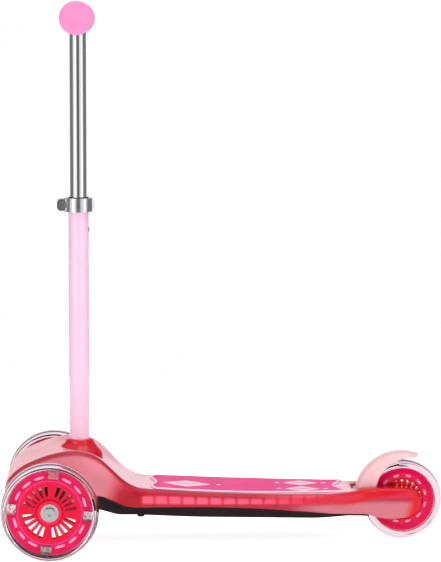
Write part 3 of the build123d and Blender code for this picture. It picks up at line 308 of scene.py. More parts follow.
class Finish:
    """A material under construction: its tree, its Principled shader and the surface effects."""

    def __init__(self, name, **plain):
        self.material = bpy.data.materials.new(name)
        self.material.use_nodes = True
        self.tree = self.material.node_tree
        self.tree.nodes.clear()
        self.shader = self.tree.nodes.new("ShaderNodeBsdfPrincipled")
        add_node(self.tree, "ShaderNodeOutputMaterial", {"Surface": self.shader.outputs[0]})
        for key, value in plain.items():
            self.shader.inputs[key.replace("_", " ")].default_value = value

    def effect(self, group, **values):
        """Places a surface effect in the material and gives its outputs."""
        made = add_node(self.tree, "ShaderNodeGroup", node_tree=group)
        for key, value in values.items():
            made.inputs[key.replace("_", " ")].default_value = value
        return made.outputs

    def feed(self, socket, source):
        """Feeds a shader input from a node's output."""
        self.tree.links.new(source, self.shader.inputs[socket])

    def spread(self, source, low, high):
        """A noise value, which mostly lies from 0.3 to 0.7, spread to a range."""
        return ranged(self.tree, source, 0.3, 0.7, low, high)

    def tint(self, share, first, second):
        """Two colours mixed by a share."""
        return mix_colour(self.tree, share, first, second)

    def bump(self, height, strength, distance):
        """Raises the surface by a height map, in metres."""
        sockets = {"Height": height, "Strength": strength, "Distance": distance}
        self.feed("Normal", add_node(self.tree, "ShaderNodeBump", sockets).outputs[0])

    def facing(self):
        """How far the surface is turned away from the view, 0 to 1."""
        return add_node(self.tree, "ShaderNodeLayerWeight", {"Blend": 0.5}).outputs["Facing"]

    def attribute(self, name, output):
        """A value or colour that the piece holds at its points."""
        return add_node(self.tree, "ShaderNodeAttribute", attribute_name=name).outputs[output]


def moulded_plastic(name, colour, rough, mottle=0.1, grain=1400.0, relief=0.00004,
                    attribute=None, darker=0.8, **plain):
    """Moulded plastic: its colour wanders a little, the gloss varies and scuffs dull it."""
    made = Finish(name, **plain)
    surface = made.effect(MOULDED, Grain_Scale=grain)
    if attribute:
        base = made.attribute(attribute, "Color")
    else:
        base = add_node(made.tree, "ShaderNodeRGB").outputs[0]
        base.default_value = (*colour, 1.0)
    shaded = mix_colour(made.tree, 1.0, base, (darker, darker, darker), "MULTIPLY")
    wander = made.spread(surface["Mottle"], 0.0, mottle * 5)
    made.feed("Base Color", made.tint(wander, base, shaded))
    gloss = made.spread(surface["Mottle"], rough * 0.8, rough * 1.25)
    made.feed("Roughness", math(made.tree, "MULTIPLY_ADD", surface["Scuffs"], 0.12, gloss))
    made.bump(surface["Grain"], 0.35, relief)
    return made


def metal(name, colour, rough, stretch=(900.0, 900.0, 12.0), relief=0.00002, contrast=0.25, **plain):
    """Bright metal with the marks of drawing or turning, and smudges that dull it."""
    made = Finish(name, Metallic=1.0, **plain)
    surface = made.effect(DRAWN, Stretch=stretch)
    dark = [c * (1 - contrast) for c in colour]
    made.feed("Base Color", made.tint(made.spread(surface["Lines"], 0.0, 1.0), dark, colour))
    made.feed("Roughness", made.spread(surface["Smudge"], rough * 0.7, rough * 1.6))
    made.bump(surface["Lines"], 0.2, relief)
    return made


def clear_cast(name, colour, edge, **plain):
    """Clear cast plastic.  It is tinted darker as a painted shade of a dark rim, where it is seen edge on
    and where its painted rim shade value says, and its surface has the slow waves of a casting."""
    made = Finish(name, IOR=1.42, Transmission_Weight=1.0, **plain)
    surface = made.effect(MOULDED, Mottle_Scale=45.0)
    # painted shade: a dark rim where the surface is seen edge on, and on the shoulders
    rim = ranged(made.tree, made.facing(), 0.72, 0.97, 0.0, 1.0, interpolation_type="SMOOTHSTEP")
    rim = math(made.tree, "MAXIMUM", rim, made.attribute("skin", "Fac"))
    made.feed("Base Color", made.tint(rim, colour, edge))
    made.feed("Roughness", made.spread(surface["Mottle"], 0.024, 0.06))
    made.bump(surface["Mottle"], 0.3, 0.00006)
    return made


def round_axle(made, centre):
    """The distance from a wheel's axle in millimetres, as a socket, for a pattern of rings."""
    tree = made.tree
    shift = {"Vector": object_place(tree), "Location": tuple(-np.array(centre) * MM)}
    moved = add_node(tree, "ShaderNodeMapping", shift).outputs[0]
    x, _, z = add_node(tree, "ShaderNodeSeparateXYZ", {0: moved}).outputs
    square = math(tree, "MULTIPLY_ADD", z, z, math(tree, "MULTIPLY", x, x))
    return math(tree, "MULTIPLY", math(tree, "SQRT", square), 1 / MM)


def ramp_of(tree, value, stops):
    """A colour ramp over a value from 0 to 1, with stops of (place, colour)."""
    made = add_node(tree, "ShaderNodeValToRGB", {0: value})
    elements = made.color_ramp.elements
    while len(elements) < len(stops):
        elements.new(0.5)
    for element, (place, colour) in zip(elements, stops):
        element.position = place
        element.color = (*colour, 1.0)
    return made.outputs[0]


def hub_plastic(name, centre, rings):
    """Translucent magenta plastic whose colour changes in rings round the axle, as the thickness of
    the moulding does.  Rings are (radius in millimetres, colour)."""
    made = Finish(name, Coat_Weight=0.1, Coat_Roughness=0.08, Specular_IOR_Level=0.14)
    surface = made.effect(MOULDED, Grain_Scale=1600.0)
    reach = rings[-1][0]
    share = math(made.tree, "DIVIDE", round_axle(made, centre), reach)
    ringed = ramp_of(made.tree, share, [(radius / reach, colour) for radius, colour in rings])
    dark = mix_colour(made.tree, 1.0, ringed, (0.72, 0.6, 0.66), "MULTIPLY")
    made.feed("Base Color", made.tint(made.spread(surface["Mottle"], 0.0, 0.6), ringed, dark))
    gloss = made.spread(surface["Mottle"], 0.176, 0.286)
    made.feed("Roughness", math(made.tree, "MULTIPLY_ADD", surface["Scuffs"], 0.15, gloss))
    made.bump(surface["Grain"], 0.25, 0.00004)
    return made


# ---------------------------------------------------------------- finishes
MAGENTA = linear(224, 0, 80)
FIN_RED = linear(228, 0, 54)
HUB_RINGS = [
    (0, linear(205, 70, 95)), (12, linear(228, 40, 78)), (17, FIN_RED), (36, FIN_RED),
    (38, linear(240, 20, 96)), (39.6, linear(250, 70, 132)), (41, MAGENTA), (52, linear(216, 2, 84)),
]
REAR_RINGS = [
    (0, linear(205, 70, 95)), (12, linear(232, 30, 60)), (18, linear(230, 0, 26)),
    (25, linear(230, 0, 30)), (26.5, linear(232, 16, 66)), (31, linear(222, 4, 76)),
    (40, linear(222, 6, 82)),
]

FINISHES = {
    "shell": moulded_plastic("shell_gloss", linear(214, 50, 78), 0.24, 0.05, attribute="tint",
                             Coat_Weight=0.16, Coat_Roughness=0.08, Specular_IOR_Level=0.22),
    "base": moulded_plastic("tray_grain", linear(30, 9, 11), 0.55, 0.12, 900.0, 0.00025,
                            Specular_IOR_Level=0.25),
    "collar": moulded_plastic("collar_gloss", linear(212, 12, 44), 0.15, 0.08,
                              Coat_Weight=0.35, Coat_Roughness=0.05, Specular_IOR_Level=0.3),
    "nylon": moulded_plastic("nylon_grain", linear(52, 50, 54), 0.45, 0.12, 1100.0, 0.0001),
    "brake_rubber": moulded_plastic("brake_rubber_grain", linear(40, 38, 40), 0.75, 0.15, 700.0, 0.0003),
    "coil": moulded_plastic("coil_resin", linear(150, 84, 44), 0.35, 0.15, 2400.0, 0.0002),
    "chrome": metal("chrome_plate", (0.83, 0.81, 0.82), 0.05, (420.0, 420.0, 6.0), 0.000004, 0.06),
    "clamp_alloy": metal("clamp_polish", (0.78, 0.78, 0.8), 0.16, (260.0, 260.0, 900.0), 0.00002, 0.14),
    "steel": metal("zinc_plate", (0.6, 0.58, 0.58), 0.22, (500.0, 60.0, 500.0), 0.00002, 0.2),
    "spring_steel": metal("spring_wire", (0.5, 0.5, 0.52), 0.3, (700.0, 700.0, 700.0), 0.00002, 0.3),
    "magnet": metal("nickel_plate", (0.6, 0.58, 0.55), 0.2, (600.0, 60.0, 600.0), 0.00001, 0.2),
    # the second colour is the painted shade of the clear tyre's dark rim
    "clear_tyre": clear_cast("clear_tyre_cast", linear(253, 230, 240), linear(46, 14, 32),
                             Specular_Tint=(0.5, 0.28, 0.38, 1.0)),
    "fender": moulded_plastic("fender_pale", linear(246, 192, 198), 0.34, 0.04, Coat_Weight=0.2,
                              Coat_Roughness=0.1, Subsurface_Weight=0.3, Subsurface_Scale=0.008),
}


def tube_paint():
    """Pale pink gloss paint over steel: orange peel in the lacquer and a faint pearl."""
    made = Finish("tube_paint", Coat_Weight=1.0, Coat_Roughness=0.04, Coat_IOR=1.5)
    surface = made.effect(MOULDED, Mottle_Scale=26.0, Grain_Scale=520.0)
    flecks = made.spread(surface["Grain"], 0.0, 0.35)
    pearl = made.tint(flecks, linear(246, 196, 222), linear(255, 222, 238))
    deeper = made.spread(surface["Mottle"], 0.0, 0.4)
    made.feed("Base Color", made.tint(deeper, pearl, linear(240, 188, 214)))
    made.feed("Roughness", made.spread(surface["Mottle"], 0.22, 0.34))
    made.bump(surface["Grain"], 0.12, 0.00006)
    return made


def grip_rubber():
    """Soft pink rubber, matt, with a fine grain, slightly paler worn patches, and painted shade that
    darkens it where it turns away from the view.
    """
    made = Finish("grip_rubber", Sheen_Weight=0.25, Sheen_Roughness=0.4,
                  Subsurface_Weight=0.15, Subsurface_Scale=0.006)
    surface = made.effect(MOULDED, Mottle_Scale=40.0, Grain_Scale=1800.0)
    patches = made.spread(surface["Mottle"], 0.0, 0.5)
    worn = made.tint(patches, linear(251, 140, 196), linear(255, 160, 208))
    grained = made.tint(made.spread(surface["Grain"], 0.0, 0.25), worn, linear(236, 112, 172))
    # painted shade: darker where the surface turns away from the view
    painted_edge_shade = ranged(made.tree, made.facing(), 0.45, 0.85, 0.0, 0.75)
    made.feed("Base Color", made.tint(painted_edge_shade, grained, linear(196, 84, 130)))
    made.feed("Roughness", made.spread(surface["Mottle"], 0.5, 0.66))
    made.bump(surface["Grain"], 0.4, 0.00012)
    return made


def pad_rubber():
    """Hot pink grip rubber with small raised pips, lighter on their tops with painted shade darkening the
    ground between them, and the pale print where the print value says.
    """
    made = Finish("pad_rubber", Specular_IOR_Level=0.35)
    surface = made.effect(MOULDED, Mottle_Scale=30.0, Grain_Scale=2200.0)
    cells = {"Vector": object_place(made.tree), "Scale": 520.0, "Randomness": 0.35}
    pips = add_node(made.tree, "ShaderNodeTexVoronoi", cells).outputs["Distance"]
    raised = ranged(made.tree, pips, 0.15, 0.5, 1.0, 0.0)
    # painted shade: the ground between the pips is darker than their tops
    pips_painted_shade = made.tint(raised, linear(232, 62, 134), linear(255, 96, 162))
    ground = made.tint(made.spread(surface["Mottle"], 0.0, 0.35), pips_painted_shade, linear(238, 72, 144))
    grainy = made.spread(surface["Grain"], 0.0, 0.5)
    pale = made.tint(grainy, linear(252, 216, 230), linear(244, 190, 212))
    made.feed("Base Color", made.tint(made.attribute("print", "Fac"), ground, pale))
    made.feed("Roughness", made.spread(surface["Mottle"], 0.55, 0.7))
    made.bump(raised, 0.5, 0.00025)
    return made


def light_block():
    """Clear light block: the small dark parts of the lamp inside show as grey flecks."""
    made = Finish("light_block", IOR=1.49, Transmission_Weight=1.0)
    surface = made.effect(MOULDED, Mottle_Scale=60.0)
    cells = {"Vector": object_place(made.tree), "Scale": 260.0, "Randomness": 0.8}
    flecks = add_node(made.tree, "ShaderNodeTexVoronoi", cells).outputs["Distance"]
    share = ranged(made.tree, flecks, 0.3, 0.42, 1.0, 0.0)
    made.feed("Base Color", made.tint(share, linear(250, 226, 234), linear(150, 112, 126)))
    made.feed("Roughness", made.spread(surface["Mottle"], 0.08, 0.2))
    made.bump(flecks, 0.4, 0.0003)
    return made


KEY_FINISH = moulded_plastic("tyre_key_milky", linear(252, 150, 186), 0.2, 0.08,
                             Subsurface_Weight=0.3, Subsurface_Scale=0.003)
FINISHES["light"] = light_block()
FINISHES["painted_tube"] = tube_paint()
FINISHES["grip"] = grip_rubber()
FINISHES["pad"] = pad_rubber()
FINISHES["hub"] = hub_plastic("front_hub_rings", FRONT_AXLE, HUB_RINGS)
REAR_HUB = hub_plastic("rear_hub_rings", REAR_AXLE, REAR_RINGS)

for subpart in frame["record"]["subparts"]:
    node = NODES[subpart["node"]]
    node.data.materials.clear()
    chosen = REAR_HUB if subpart["node"] == "rear_hub" else FINISHES[subpart["material_slot"]]
    node.data.materials.append(chosen.material)


# ---------------------------------------------------------------- deck shell
# the crease where the sides meet the top, from the toe of the nose to the end of the fork
CREASE = [
    (-59.4, 65.5), (-58.8, 72), (-56.6, 81), (-52.6, 89.5), (-47, 96.5), (-40, 102.6), (-31, 108.4),
    (-19, 113.8), (-6, 118.6), (6, 121.9), (17, 124), (27, 124.9), (37, 124.4), (46, 122.2), (55, 118),
    (64, 111.4), (73, 102.8), (81, 94.6), (89, 87), (98, 80.4), (108, 75.9), (119, 73.5), (138, 72.2),
    (157, 71.05), (178, 69.95), (200, 68.95), (222, 68.05), (246, 67.25), (272, 66.65), (298, 66.15),
    (323, 65.85), (349, 65.75), (373, 65.9), (392, 66.6), (414, 67.8), (434, 68.3), (450, 67.3),
    (460, 64.6), (466, 59.5),
]
# the bottom edge of the sides, and half the width in plan
HEM = [
    (-60, 63), (42, 63), (50, 64.6), (58, 66.6), (66, 65.4), (76, 60), (88, 54.2), (100, 51.2),
    (114, 50.6), (157, 51), (214, 51), (272, 48.4), (310, 45.3), (350, 41), (386, 37), (398, 35.6),
    (406, 32.6), (416, 30), (438, 29.2), (452, 31.4), (460, 35.6), (466, 42),
]
NOSE_HALF_W = 66
PLAN = [
    (-40, NOSE_HALF_W), (-5, 66), (20, 66.2), (42, 65.6), (60, 62.4), (80, 57.4), (100, 54), (120, 53.4),
    (150, 55.2), (190, 57.6), (250, 58.3), (310, 57.8), (335, 55.8), (355, 50.6), (372, 43.6),
    (386, 37.4), (400, 33), (415, 30.6), (440, 29.8), (456, 29), (463, 27), (466, 24),
]
TOE_X = CREASE[0][0]
TOE_ROUND_X = PLAN[0][0]
ARCH_R = 25.0               # the arch over the steering arms
ARCH_FOOT = HEM[0][1]
WELL_X = 379.0              # where the wheel well parts the fork arms
DECK_TOP_DROP = 0.15        # the shell's top lies this far under the crease line
DISH = 6.8                  # depth of the dish round the stem
EDGE_R = 6.5                # rounding where the sides meet the top
ARM_LAP = 0.1               # how far the arms start inside the shell


def half_width(x):
    """Half the shell's width: a blunt rounded toe, w(1 - s^3)^(1/3), where w is half the nose's
    width and s goes from 0 at the toe's start to 1 at its tip, and then the plan."""
    s = np.clip((TOE_ROUND_X - x) / (TOE_ROUND_X - TOE_X), 0, 1)
    toe = NOSE_HALF_W * (1 - s**3) ** (1 / 3)
    return np.where(x < TOE_ROUND_X, toe, through(PLAN, np.maximum(x, TOE_ROUND_X)))


def hem_height(x):
    """Bottom edge of the shell's sides, lifted into an arch over the steering arms."""
    arch = FRONT_AXLE[2] - 4 + np.sqrt(np.maximum(ARCH_R**2 - x**2, 0))
    return np.where(np.abs(x) < ARCH_R, np.maximum(arch, ARCH_FOOT), through(HEM, x))


def shell_section(x, crease, inset):
    """Half cross-sections of the shell, from its middle over the rounded edge and down the side:
    a top that is dished round the stem, a quarter circle, and a side that bows out and draws in."""
    w = np.maximum(half_width(x) - inset, 0)[:, None]
    top = (crease - inset)[:, None]
    foot = np.minimum(hem_height(x), crease - inset - 0.5)[:, None]
    r = np.minimum.reduce([np.full_like(w, EDGE_R - inset * 0.6), 0.45 * w, 0.45 * (top - foot)])
    core = np.minimum(FORK_GAP, 0.45 * w)
    flat = np.concatenate([
        core * np.linspace(0, 1, 5)[None],
        core + (w - r - core) * np.linspace(0, 1, 13)[None, 1:],
    ], 1)
    round_stem = smooth(-6, 34, x) * smooth(98, 66, x)
    dish = DISH * smooth(0, 24, w - r - flat) * round_stem[:, None]
    turn = np.linspace(0, pi / 2, 9)[None, 1:]
    down = np.linspace(0, 1, 25)[None, 1:]
    height = top - r - foot
    toe_end = np.minimum(w / 6, 1)
    bow = np.minimum(1.2, 0.04 * height) * np.sin(pi * down) * toe_end
    draw = np.minimum(2.2, 0.07 * height) * down**2 * toe_end
    y = np.concatenate([flat, w - r + r * np.sin(turn), w + bow - draw], 1)
    z = np.concatenate([top - dish, top - r + r * np.cos(turn), top - r - height * down], 1)
    return np.stack([np.broadcast_to(x[:, None], y.shape), y, z], -1)


# the pale colour is a painted highlight from the light above, and the salmon one a painted reflection of
# the soft boxes
PALE_PAINTED_HIGHLIGHT = linear(244, 186, 200)
SALMON_PAINTED_REFLECTION = linear(240, 144, 158)
MID_RED = linear(206, 42, 70)
DEEP_RED = linear(172, 2, 26)
LOW_RED = linear(165, 28, 52)
# the crease, rear crease, pad strip and edge reds are painted shade along the shell's rounded edge
CREASE_PAINTED_SHADE = linear(172, 20, 44)
REAR_CREASE_PAINTED_SHADE = linear(206, 24, 52)
BRIGHT_RED = linear(204, 0, 20)
PAD_STRIP_PAINTED_SHADE = linear(198, 32, 58)
EDGE_PAINTED_SHADE = linear(206, 70, 94)
CELL_PINK = linear(250, 96, 126)
BLUSH = linear(192, 106, 118)
NOSE_SHADE = linear(196, 112, 124)
CELL_FRONT, CELL_PITCH, CELL_COUNT = 112.0, 17.0, 14


def blend_colour(under, over, share):
    """One colour laid over another by a share at each point."""
    return under + (np.asarray(over) - under) * share[..., None]


def shell_colour_and_painted_light(points, crease):
    """Colour of the shell with painted light in it: pale on top as a painted highlight from the light
    above, salmon on the nose's sides as a painted reflection of the soft boxes, a grey patch of painted
    shade on the nose, deep red where the nose runs into the deck, a dark line of painted shade along the
    crease and beside the pad, a row of paler cells between the ribs, and a blush on the fork."""
    x, y, z = points[..., 0], np.abs(points[..., 1]), points[..., 2]
    below = crease[:, None] - z
    inward = half_width(x) - y
    nose = smooth(96, 60, x + 0.35 * (90 - z))
    nose_foot = smooth(60, 92, x) * smooth(132, 104, x) * smooth(84, 66, z + 0.1 * (x - 90))
    step = (x - CELL_FRONT) % CELL_PITCH
    row_end = CELL_FRONT + CELL_PITCH * CELL_COUNT + 4
    cell = smooth(0, 3.2, step) * smooth(16.4, 13.2, step) * smooth(54.0, 57.6, z) * smooth(66.6, 63.4, z)
    in_row = smooth(CELL_FRONT - 2, CELL_FRONT, x) * smooth(row_end, 300, x)
    fork_line = 51 + (x - 376) * 0.17
    fork_rim = np.maximum(smooth(-3.5, 3.5, z - fork_line), smooth(445, 461, x + 0.25 * (50 - z)))
    # painted shade: a dark line under the crease on the rear part of the deck
    rear_crease_painted_shade = bell(below - 7, 5.5) * smooth(250, 330, x) * smooth(400, 372, x)
    side = np.broadcast_to(MID_RED, points.shape)
    for colour, share in (
        (LOW_RED, smooth(57, 53, z) * smooth(100, 130, x)),
        (DEEP_RED, nose_foot),
        # painted reflection: salmon on the nose's sides, and under it a grey-pink patch of painted shade
        (SALMON_PAINTED_REFLECTION, nose * 0.92),
        (NOSE_SHADE, nose * bell(x - 62, 16) * bell(z - 84, 15) * 0.6),
        (CELL_PINK, cell * in_row * 0.8),
        (BLUSH, smooth(285, 345, x) * smooth(56.5, 49, z + 0.02 * (x - 350))),
        (BRIGHT_RED, smooth(345, 390, x) * fork_rim),
        # painted shade: the dark line along the crease, and under it towards the rear
        (CREASE_PAINTED_SHADE, smooth(8.0, 3.0, below) * 0.95 * smooth(330, 250, x)),
        (REAR_CREASE_PAINTED_SHADE, rear_crease_painted_shade * 0.8),
    ):
        side = blend_colour(side, colour, share)
    beside_pad = smooth(104, 126, x) * smooth(352, 330, x)
    # the top is pale as a painted highlight, and salmon towards the front as a painted reflection
    top = np.broadcast_to(PALE_PAINTED_HIGHLIGHT, points.shape)
    for colour, share in (
        (SALMON_PAINTED_REFLECTION, smooth(90, 0, x) * 0.8),
        # painted shade in a strip beside the pad and along the top's edge
        (PAD_STRIP_PAINTED_SHADE, smooth(10.5, 9.0, inward) * beside_pad),
        (EDGE_PAINTED_SHADE, smooth(8.0, 4.0, inward) * 0.7),
        (BRIGHT_RED, smooth(372, 388, x)),
    ):
        top = blend_colour(top, colour, share)
    return blend_colour(side, top, smooth(3.0, 6.5, inward))


def both_sides(half):
    """A half section and its mirror image, as one run from the left foot over to the right foot."""
    left = half[:, ::-1] * (1, -1, 1)
    return np.concatenate([left[:, :-1], half], 1)


def deck_shell():
    """The shell: a hollow body from the toe to the wheel well, whose wall is the space between the
    section and the same section drawn in by the wall, and two solid fork arms behind it."""
    profile = along(CREASE, 460)
    joint = np.searchsorted(profile[:, 0], WELL_X)
    profile[joint, 0] = WELL_X
    x, crease = profile.T
    crease = crease - DECK_TOP_DROP
    outer = shell_section(x, crease, 0.0)
    inner = shell_section(x, crease, SHELL_WALL)
    front = slice(0, joint + 1)
    body = np.concatenate([both_sides(outer[front]), both_sides(inner[front])[:, ::-1]], 1)
    # the tint holds the shell's colour together with its painted highlight, painted reflections and
    # painted shade
    tint = shell_colour_and_painted_light(body, crease[front])
    columns = outer.shape[1]
    end = body[joint]
    run = 2 * columns - 1
    lid = np.stack([end[:run], end[run:][::-1]])
    grids = [
        {"points": body, "round_columns": True, "values": {"tint": tint}},
        {"points": lid, "values": {"tint": shell_colour_and_painted_light(lid, np.repeat(crease[joint], 2))}},
    ]
    rear = slice(joint, None)
    arm = outer[rear][:, 4:]
    under = arm[:, -1:] + (arm[:, :1] - arm[:, -1:]) * np.linspace(0, 1, 5)[None, 1:, None] * (1, 1, 0)
    inside = arm[:, :1] + (under[:, -1:] - arm[:, :1]) * np.linspace(1, 0, 9)[None, 1:-1, None]
    loop = np.concatenate([arm, under, inside], 1)
    loop[0, :, 0] -= ARM_LAP
    start, stop = loop[:1], loop[-1:]
    ends = [start * share + start.mean(1, keepdims=True) * (1 - share) for share in (0.0, 0.5)]
    tail = [stop * share + stop.mean(1, keepdims=True) * (1 - share) for share in (0.6, 0.0)]
    loop = np.concatenate([*ends, loop, *tail])
    arm_crease = np.concatenate([crease[joint][None]] * 2 + [crease[rear]] + [crease[-1:]] * 2)
    for side in (-1, 1):
        mirrored = loop * (1, side, 1)
        tint = shell_colour_and_painted_light(mirrored, arm_crease)
        grids.append({"points": mirrored, "round_columns": True, "values": {"tint": tint}})
    for grid in grids:
        grid["points"] = grid["points"] + (AXLE_X, 0, 0)
    return piece("shell_skin", "deck", grids, FINISHES["shell"], ["deck_shell"], sharp=42)


deck_shell()


# ---------------------------------------------------------------- grip pad
def edge_distance(outline, x, y):
    """Signed distance in plan from a closed outline, above 0 inside it."""
    far = np.full(x.shape, 1e9)
    inside = np.zeros(x.shape, bool)
    for (ax, ay), (bx, by) in zip(outline, np.roll(outline, -1, axis=0)):
        dx, dy = bx - ax, by - ay
        t = np.clip(((x - ax) * dx + (y - ay) * dy) / (dx * dx + dy * dy + 1e-9), 0, 1)
        far = np.minimum(far, np.hypot(x - ax - t * dx, y - ay - t * dy))
        crosses = (ay > y) != (by > y)
        inside ^= crosses & (x < (bx - ax) * (y - ay) / (by - ay + 1e-12) + ax)
    return np.where(inside, far, -far)


PAD_T = 1.55
PAD_ROUND = 1.6             # width of the rounded rim
PAD_LIFT = 0.25             # the pad's foot above the crease line
DIAMONDS = [(170, -8, 30, 20), (316, -24, 22, 15), (316, 14, 22, 15)]   # x, y, half length, half width


def diamond(x, y, cx, cy, length, width):
    """Share of print in a diamond |q| = (1 - |p|)^0.9, with a vein left out along its middle, and
    in the round dots off its ends."""
    px, py = (x - cx) / length, (y - cy) / width
    room = np.clip(1 - np.abs(px), 0, 1)
    leaf = np.where(np.abs(px) < 1, np.abs(py) - room**0.9, 1.0)
    vein = np.maximum(smooth(0.9, 1.6, np.abs(py) * width), smooth(0.35, 0.6, np.abs(px)))
    away = np.minimum.reduce([np.hypot(x - cx - k * length * 0.93, y - cy) for k in (-1.45, 1.45)])
    return np.maximum(smooth(0.05, -0.05, leaf) * vein, smooth(3.4, 2.4, away))


def rim_of(grid):
    """The outermost points of a grid, in order round it."""
    return np.concatenate([grid[0, :-1], grid[:-1, -1], grid[-1, :0:-1], grid[:0:-1, 0]])


def grip_mat():
    """The pad: rows run from its left edge to its right edge along lines that follow the notched
    front and rear ends.  It lies on the deck's arc, and its rim is rounded down as a quarter
    circle of the distance from the outline."""
    low, high = extent("grip_pad")
    front, rear, half = low[0] - AXLE_X + 0.2, high[0] - AXLE_X - 0.2, high[1] - 0.2
    v = np.linspace(-1, 1, 121)
    side = np.abs(v)
    front_notch = [(0, 5.4), (0.15, 5), (0.4, 2), (0.6, 0.1), (0.8, 1.6), (1, 6.4)]
    rear_notch = [(0, 12), (0.2, 11), (0.5, 6), (0.72, 3.4), (0.9, 0.1), (1, 2.4)]
    front_line = front + through(front_notch, side)
    rear_line = rear - through(rear_notch, side)
    u = np.linspace(0, 1, 321)[:, None]
    x = front_line + (rear_line - front_line) * u
    spread = half * (1 - 0.19 * smooth(0.45, 1.0, u) - 0.04 * smooth(0.2, 0.0, u))
    y = v[None] * spread
    outline = rim_of(np.stack([x, y], -1))
    depth = np.maximum(edge_distance(outline[::2], x, y), 0)
    base = through(CREASE, x) + PAD_LIFT
    thickness = PAD_T * np.sqrt(np.clip(1 - (1 - np.clip(depth / PAD_ROUND, 0, 1)) ** 2, 0.02, 1))
    border = smooth(3.4, 2.8, depth)
    lines = np.maximum.reduce([border, *(diamond(x, y, *place) for place in DIAMONDS)])
    shift = np.array((AXLE_X, 0, 0))
    top = np.stack([x, y, base + thickness], -1) + shift
    bottom = np.stack([x, y, base - 0.05], -1) + shift
    rim = np.stack([rim_of(top), rim_of(bottom)])
    return piece("grip_mat", "deck", [
        {"points": top, "values": {"print": lines}},
        {"points": bottom, "values": {"print": np.zeros_like(lines)}},
        {"points": rim, "round_columns": True, "values": {"print": np.ones(rim.shape[:2])}},
    ], FINISHES["pad"], ["grip_pad"], sharp=50)


grip_mat()


# ---------------------------------------------------------------- tyres
def keys(centre, ring, angles, length, width, half):
    """Blocks of tyre plastic that fill the hub's slots and hold the tyre on.  Each is the outline
    |t|^4 + |r|^4 = 1, stretched to the slot's length and width and carried along the axle."""
    a = np.arange(24) * 2 * pi / 24 + pi / 24
    t = np.sign(np.cos(a)) * np.abs(np.cos(a)) ** 0.5
    r = np.sign(np.sin(a)) * np.abs(np.sin(a)) ** 0.5
    depth = half * np.array([-1, -1, -0.94, 0.94, 1, 1])
    size = np.array([0, 0.86, 1, 1, 0.86, 0])
    blocks = []
    for angle in np.radians(angles):
        out = np.array([np.cos(angle), 0, np.sin(angle)])
        tangent = np.array([-np.sin(angle), 0, np.cos(angle)])
        flat = t[:, None] * tangent * length / 2 + r[:, None] * out * width / 2
        sideways = depth[:, None, None] * np.array((0, 1, 0))
        points = centre + ring * out + size[:, None, None] * flat[None] + sideways
        blocks.append({"points": points, "round_columns": True})
    return blocks


def tyre(name, body, centre, outer, inner, half, blocks):
    """A cast tyre: crowned tread and round shoulders, turned round the axle.  Its value of painted rim
    shade is 1 on the shoulders.  The blocks are its keys."""
    one_side = [(inner, half - 3), (inner + 1.6, half), (outer - 2.2, half - 0.2), (outer, half * 0.42)]
    outline = [(r, -y) for r, y in one_side] + one_side[::-1]
    profile = rounded(outline, [1.2, 2.2, 3.6, 5.5, 5.5, 3.6, 2.2, 1.2], 7)
    r, y = profile.T
    ring = turned(profile, centre, 192)
    # painted shade on the shoulders, for the clear tyre's dark rim
    painted_shoulder_shade = smooth(outer - 1.7, outer - 0.8, r) * smooth(half * 0.2, half * 0.42, np.abs(y))
    ring["values"] = {"skin": np.broadcast_to(painted_shoulder_shade, ring["points"].shape[:2])}
    piece("keys_" + name, body, blocks, KEY_FINISH, [])
    return piece("clear_" + name, body, [ring], FINISHES["clear_tyre"], [name], sharp=60)


FRONT_SLOTS = [106.5 + quarter * 90 + k * 22.5 for quarter in range(4) for k in range(3)]
REAR_SLOTS = [15 + 30 * k for k in range(12)]
for side in ("left", "right"):
    hub = middle("front_hub_" + side)
    front_keys = keys(hub, 44.0, FRONT_SLOTS, 12.4, 3.6, 6.0)
    tyre("front_tyre_" + side, side + "_wheel", hub, 60.0, 52.12, 13.0, front_keys)
rear_keys = keys(REAR_AXLE, 30.2, REAR_SLOTS, 8.4, 3.4, 5.0)
tyre("rear_tyre", "rear_wheel", REAR_AXLE, 50.0, 40.12, 12.0, rear_keys)


# ---------------------------------------------------------------- handlebar grips
def grip(side):
    """A grip turned round the crossbar: a thumb flange, a sleeve that swells as half a sine wave
    and has shallow rings, |sin|^0.7 deep, and a thick round end knob with a flat face."""
    name = "grip_" + side
    low, high = extent(name)
    sign = 1 if side == "right" else -1
    root, end = (low[1], high[1]) if sign > 0 else (-high[1], -low[1])
    bore = 9.6
    knob = (high[2] - low[2]) / 2
    sleeve_y = np.linspace(root + 8.0, end - 13.0, 200)
    swell = 14.1 + 1.1 * np.sin(pi * (sleeve_y - sleeve_y[0]) / (sleeve_y[-1] - sleeve_y[0]))
    rings = 0.35 * np.abs(np.sin((sleeve_y - sleeve_y[0]) / 3.2 * pi)) ** 0.7
    sleeve = np.stack([swell - rings, sleeve_y], 1)
    flange = [(bore, root + 0.1), (17.0, root), (17.0, root + 4), (14.0, root + 7.4)]
    knob_edge = [(14.2, end - 12.0), (15.4, end - 8.0), (knob - 0.6, end - 7.2), (knob, end - 3.8),
                 (knob - 1.0, end - 0.9), (knob - 8, end - 0.05)]
    face = np.stack([np.linspace(knob - 9, 0, 16), np.full(16, end - 0.05)], 1)
    back = np.array([(0, end - 5.9), (bore, end - 5.9)])
    profile = np.concatenate([
        rounded(flange, [0, 1.2, 1.4, 0.5], 6, closed=False), sleeve,
        rounded(knob_edge, [0, 2.5, 2.0, 2.6, 2.6, 0], 8, closed=False), face, back,
    ])
    profile[:, 1] *= sign
    grids = [turned(profile, (BAR[0], 0, BAR[2]), 96)]
    return piece("soft_" + name, "handlebar", grids, FINISHES["grip"], [name], sharp=50)


grip("left")
grip("right")


